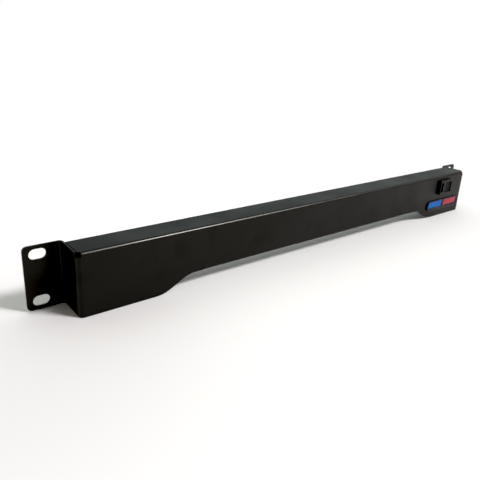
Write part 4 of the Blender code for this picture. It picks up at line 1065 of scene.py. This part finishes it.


def build_floor():
    """A wide pale floor, with a painted shadow near the left end, which a camera below it sees through.
    """
    bm = bmesh.new()
    bmesh.ops.create_circle(bm, cap_ends=True, radius=9.0, segments=96)
    mesh = bpy.data.meshes.new("floor")
    bm.to_mesh(mesh)
    bm.free()
    floor = bpy.data.objects.new("floor", mesh)
    floor.location.z = FLOOR_Z
    bpy.context.scene.collection.objects.link(floor)
    finish = Finish("pale_floor")
    mottle = finish.noise(700.0, 2.0)
    mottling = finish.spread(mottle, 0.3, 0.7, 0.0, 1.0)
    shade = finish.blend(mottling, (0.865, 0.85, 0.855), (0.89, 0.875, 0.88))
    from_end = finish.node("ShaderNodeVectorMath", operation="DISTANCE")
    finish.feed(from_end.inputs[0], finish.place)
    finish.feed(from_end.inputs[1], LEFT_END)
    # painted shadow: the floor's colour turns darker within about 0.22 m of the left end
    painted_shadow = finish.spread(from_end.outputs["Value"], 0.04, 0.22, 0.30, 0.0)
    shade = finish.blend(painted_shadow, shade, (0.45, 0.43, 0.45))
    finish.set(Base_Color=shade, Roughness=0.7, Specular_IOR_Level=0.1)
    from_below = finish.node("ShaderNodeNewGeometry").outputs["Backfacing"]
    clear = finish.node("ShaderNodeBsdfTransparent").outputs["BSDF"]
    mixed = finish.node("ShaderNodeMixShader", {"Fac": from_below})
    finish.feed(mixed.inputs[1], finish.shader.outputs["BSDF"])
    finish.feed(mixed.inputs[2], clear)
    output = next(n for n in finish.tree.nodes if n.type == "OUTPUT_MATERIAL")
    finish.feed(output.inputs["Surface"], mixed.outputs["Shader"])
    mesh.materials.append(finish.material)


SKY_BACK = Vector((0.53, 0.848, 0.0))  # where the surroundings are brightest
SKY_DARK = 0.12
SKY_BRIGHT = 0.76
SKY_FILL = 2.2  # how much more they light matt surfaces
SKY_WARM = (1.0, 0.94, 0.84, 1.0)  # tint in front
SKY_COOL = (0.88, 1.0, 1.0, 1.0)  # tint behind


def build_world():
    """Surroundings that are bright behind the object, dim in front, and white to the camera."""
    world = bpy.data.worlds.new("surroundings")
    world.use_nodes = True
    bpy.context.scene.world = world
    tree = world.node_tree
    make = tree.nodes.new
    join = tree.links.new
    direction = make("ShaderNodeTexCoord").outputs["Generated"]
    facing = make("ShaderNodeVectorMath")
    facing.operation = "DOT_PRODUCT"
    facing.inputs[1].default_value = SKY_BACK
    join(direction, facing.inputs[0])
    level = make("ShaderNodeMapRange")
    level.interpolation_type = "SMOOTHSTEP"
    level.inputs["From Min"].default_value = -0.2
    level.inputs["To Min"].default_value = SKY_DARK
    level.inputs["To Max"].default_value = SKY_BRIGHT
    join(facing.outputs["Value"], level.inputs["Value"])
    tint = make("ShaderNodeMixRGB")
    tint.inputs["Color1"].default_value = SKY_WARM
    tint.inputs["Color2"].default_value = SKY_COOL
    join(facing.outputs["Value"], tint.inputs["Fac"])
    path = make("ShaderNodeLightPath")
    fill = make("ShaderNodeMapRange")
    fill.inputs["To Min"].default_value = 1.0
    fill.inputs["To Max"].default_value = SKY_FILL
    join(path.outputs["Is Diffuse Ray"], fill.inputs["Value"])
    strength = make("ShaderNodeMath")
    strength.operation = "MULTIPLY"
    join(level.outputs["Result"], strength.inputs[0])
    join(fill.outputs["Result"], strength.inputs[1])
    lit = tree.nodes["Background"]
    join(strength.outputs["Value"], lit.inputs["Strength"])
    join(tint.outputs["Color"], lit.inputs["Color"])
    seen = make("ShaderNodeBackground")
    seen.inputs["Color"].default_value = (1.0, 1.0, 1.0, 1.0)
    mixed = make("ShaderNodeMixShader")
    join(path.outputs["Is Camera Ray"], mixed.inputs["Fac"])
    join(lit.outputs["Background"], mixed.inputs[1])
    join(seen.outputs["Background"], mixed.inputs[2])
    join(mixed.outputs["Shader"], tree.nodes["World Output"].inputs["Surface"])


BLACK_LEVEL = 0.012  # deepens the blacks, as a camera does


def add_key_light(azimuth, elevation, spread, strength):
    """A distant soft light. Azimuth 0 is in front of the object and 90 on its right, in degrees."""
    data = bpy.data.lights.new("key", "SUN")
    data.angle = radians(spread)
    data.energy = strength
    light = bpy.data.objects.new("key", data)
    turn, rise = radians(azimuth), radians(elevation)
    away = Vector((sin(turn) * cos(rise), -cos(turn) * cos(rise), sin(rise)))
    light.rotation_euler = away.to_track_quat("Z", "Y").to_euler()
    bpy.context.scene.collection.objects.link(light)


CAMERA_PLACE = (-0.31766, -0.28946, 0.16724)
CAMERA_YAW = radians(39.0)  # from +Y towards +X
CAMERA_PITCH = radians(-20.13)
CAMERA_ROLL = radians(2.82)
FOCUS_X = -0.12


def build_camera():
    """A short lens close to the left end."""
    heading = Vector(
        (
            sin(CAMERA_YAW) * cos(CAMERA_PITCH),
            cos(CAMERA_YAW) * cos(CAMERA_PITCH),
            sin(CAMERA_PITCH),
        )
    )
    level_right = Vector((cos(CAMERA_YAW), -sin(CAMERA_YAW), 0.0))
    level_up = level_right.cross(heading)
    right = cos(CAMERA_ROLL) * level_right + sin(CAMERA_ROLL) * level_up
    up = -sin(CAMERA_ROLL) * level_right + cos(CAMERA_ROLL) * level_up
    data = bpy.data.cameras.new("camera")
    data.lens = 38.44
    data.shift_x = 0.00083
    data.shift_y = -0.02596
    data.clip_start = 0.01
    data.clip_end = 100.0
    focus = bpy.data.objects.new("focus", None)
    focus.location = (FOCUS_X, FRONT_Y * MM, MID_HEIGHT * MM)
    bpy.context.scene.collection.objects.link(focus)
    data.dof.use_dof = True
    data.dof.focus_object = focus
    data.dof.aperture_fstop = 18.0
    camera = bpy.data.objects.new("camera", data)
    axes = Matrix((right, up, -heading)).transposed()
    camera.matrix_world = Matrix.Translation(CAMERA_PLACE) @ axes.to_4x4()
    bpy.context.scene.collection.objects.link(camera)
    bpy.context.scene.camera = camera


def build_object():
    coat = powder_coat("black_powder_coat", (0.0020, 0.0018, 0.0015), (0.0036, 0.0033, 0.0028))
    # The coat on the rounded edges is some five times lighter and a little glossier than on the flats:
    # a painted highlight along every edge.
    dark, light = (0.012, 0.012, 0.011), (0.018, 0.018, 0.017)
    highlight_edge_coat = powder_coat("powder_coat_edge_highlight", dark, light, gloss=0.1)
    build_front_panel(coat, highlight_edge_coat)
    build_rear_cover(coat, highlight_edge_coat)
    zinc = drawn_metal("zinc_screw", (0.60, 0.60, 0.58), (0.42, 0.41, 0.38), 0.3, stain_size=2.0)
    build_cover_screws(zinc)
    build_outlets(moulded_plastic("outlet_plastic", (0.010, 0.010, 0.011), 0.38))
    nickel = drawn_metal("nickel_pin", (0.70, 0.68, 0.63), (0.52, 0.50, 0.45), 0.2, (1.0, 1.0, 0.1))
    build_inlet(moulded_plastic("inlet_plastic", (0.010, 0.010, 0.011), 0.34), nickel)
    build_fuse_drawer(moulded_plastic("drawer_plastic", (0.016, 0.016, 0.017), 0.42))
    build_switch_housing(moulded_plastic("switch_plastic", (0.010, 0.010, 0.010), 0.42, level=0.20))
    build_switch_rocker(
        moulded_plastic("rocker_plastic", (0.009, 0.010, 0.010), 0.45, level=0.05),
        # lighter, fully specular plastic on the rocker's rounded edges: a painted highlight along them
        moulded_plastic("rocker_edge_highlight", (0.030, 0.031, 0.031), 0.30, depth=0.002, level=1.0),
    )
    build_badge(
        badge_print("badge_navy", (0.006, 0.008, 0.022), (0.004, 0.005, 0.012)),
        badge_print("badge_silver", (0.10, 0.10, 0.10), (0.06, 0.06, 0.06)),
        badge_print("badge_blue", (0.008, 0.16, 0.56), (0.005, 0.10, 0.42)),
        badge_print("badge_red", (0.52, 0.06, 0.085), (0.38, 0.035, 0.055)),
    )
    dress_inner_nodes()


def build_stage():
    build_floor()
    build_world()
    add_key_light(azimuth=42, elevation=43, spread=14, strength=3.1)
    view = bpy.context.scene.view_settings
    view.view_transform = "Standard"
    view.use_curve_mapping = True
    view.curve_mapping.black_level = (BLACK_LEVEL, BLACK_LEVEL, BLACK_LEVEL)
    view.curve_mapping.update()


build_object()
build_stage()
build_camera()
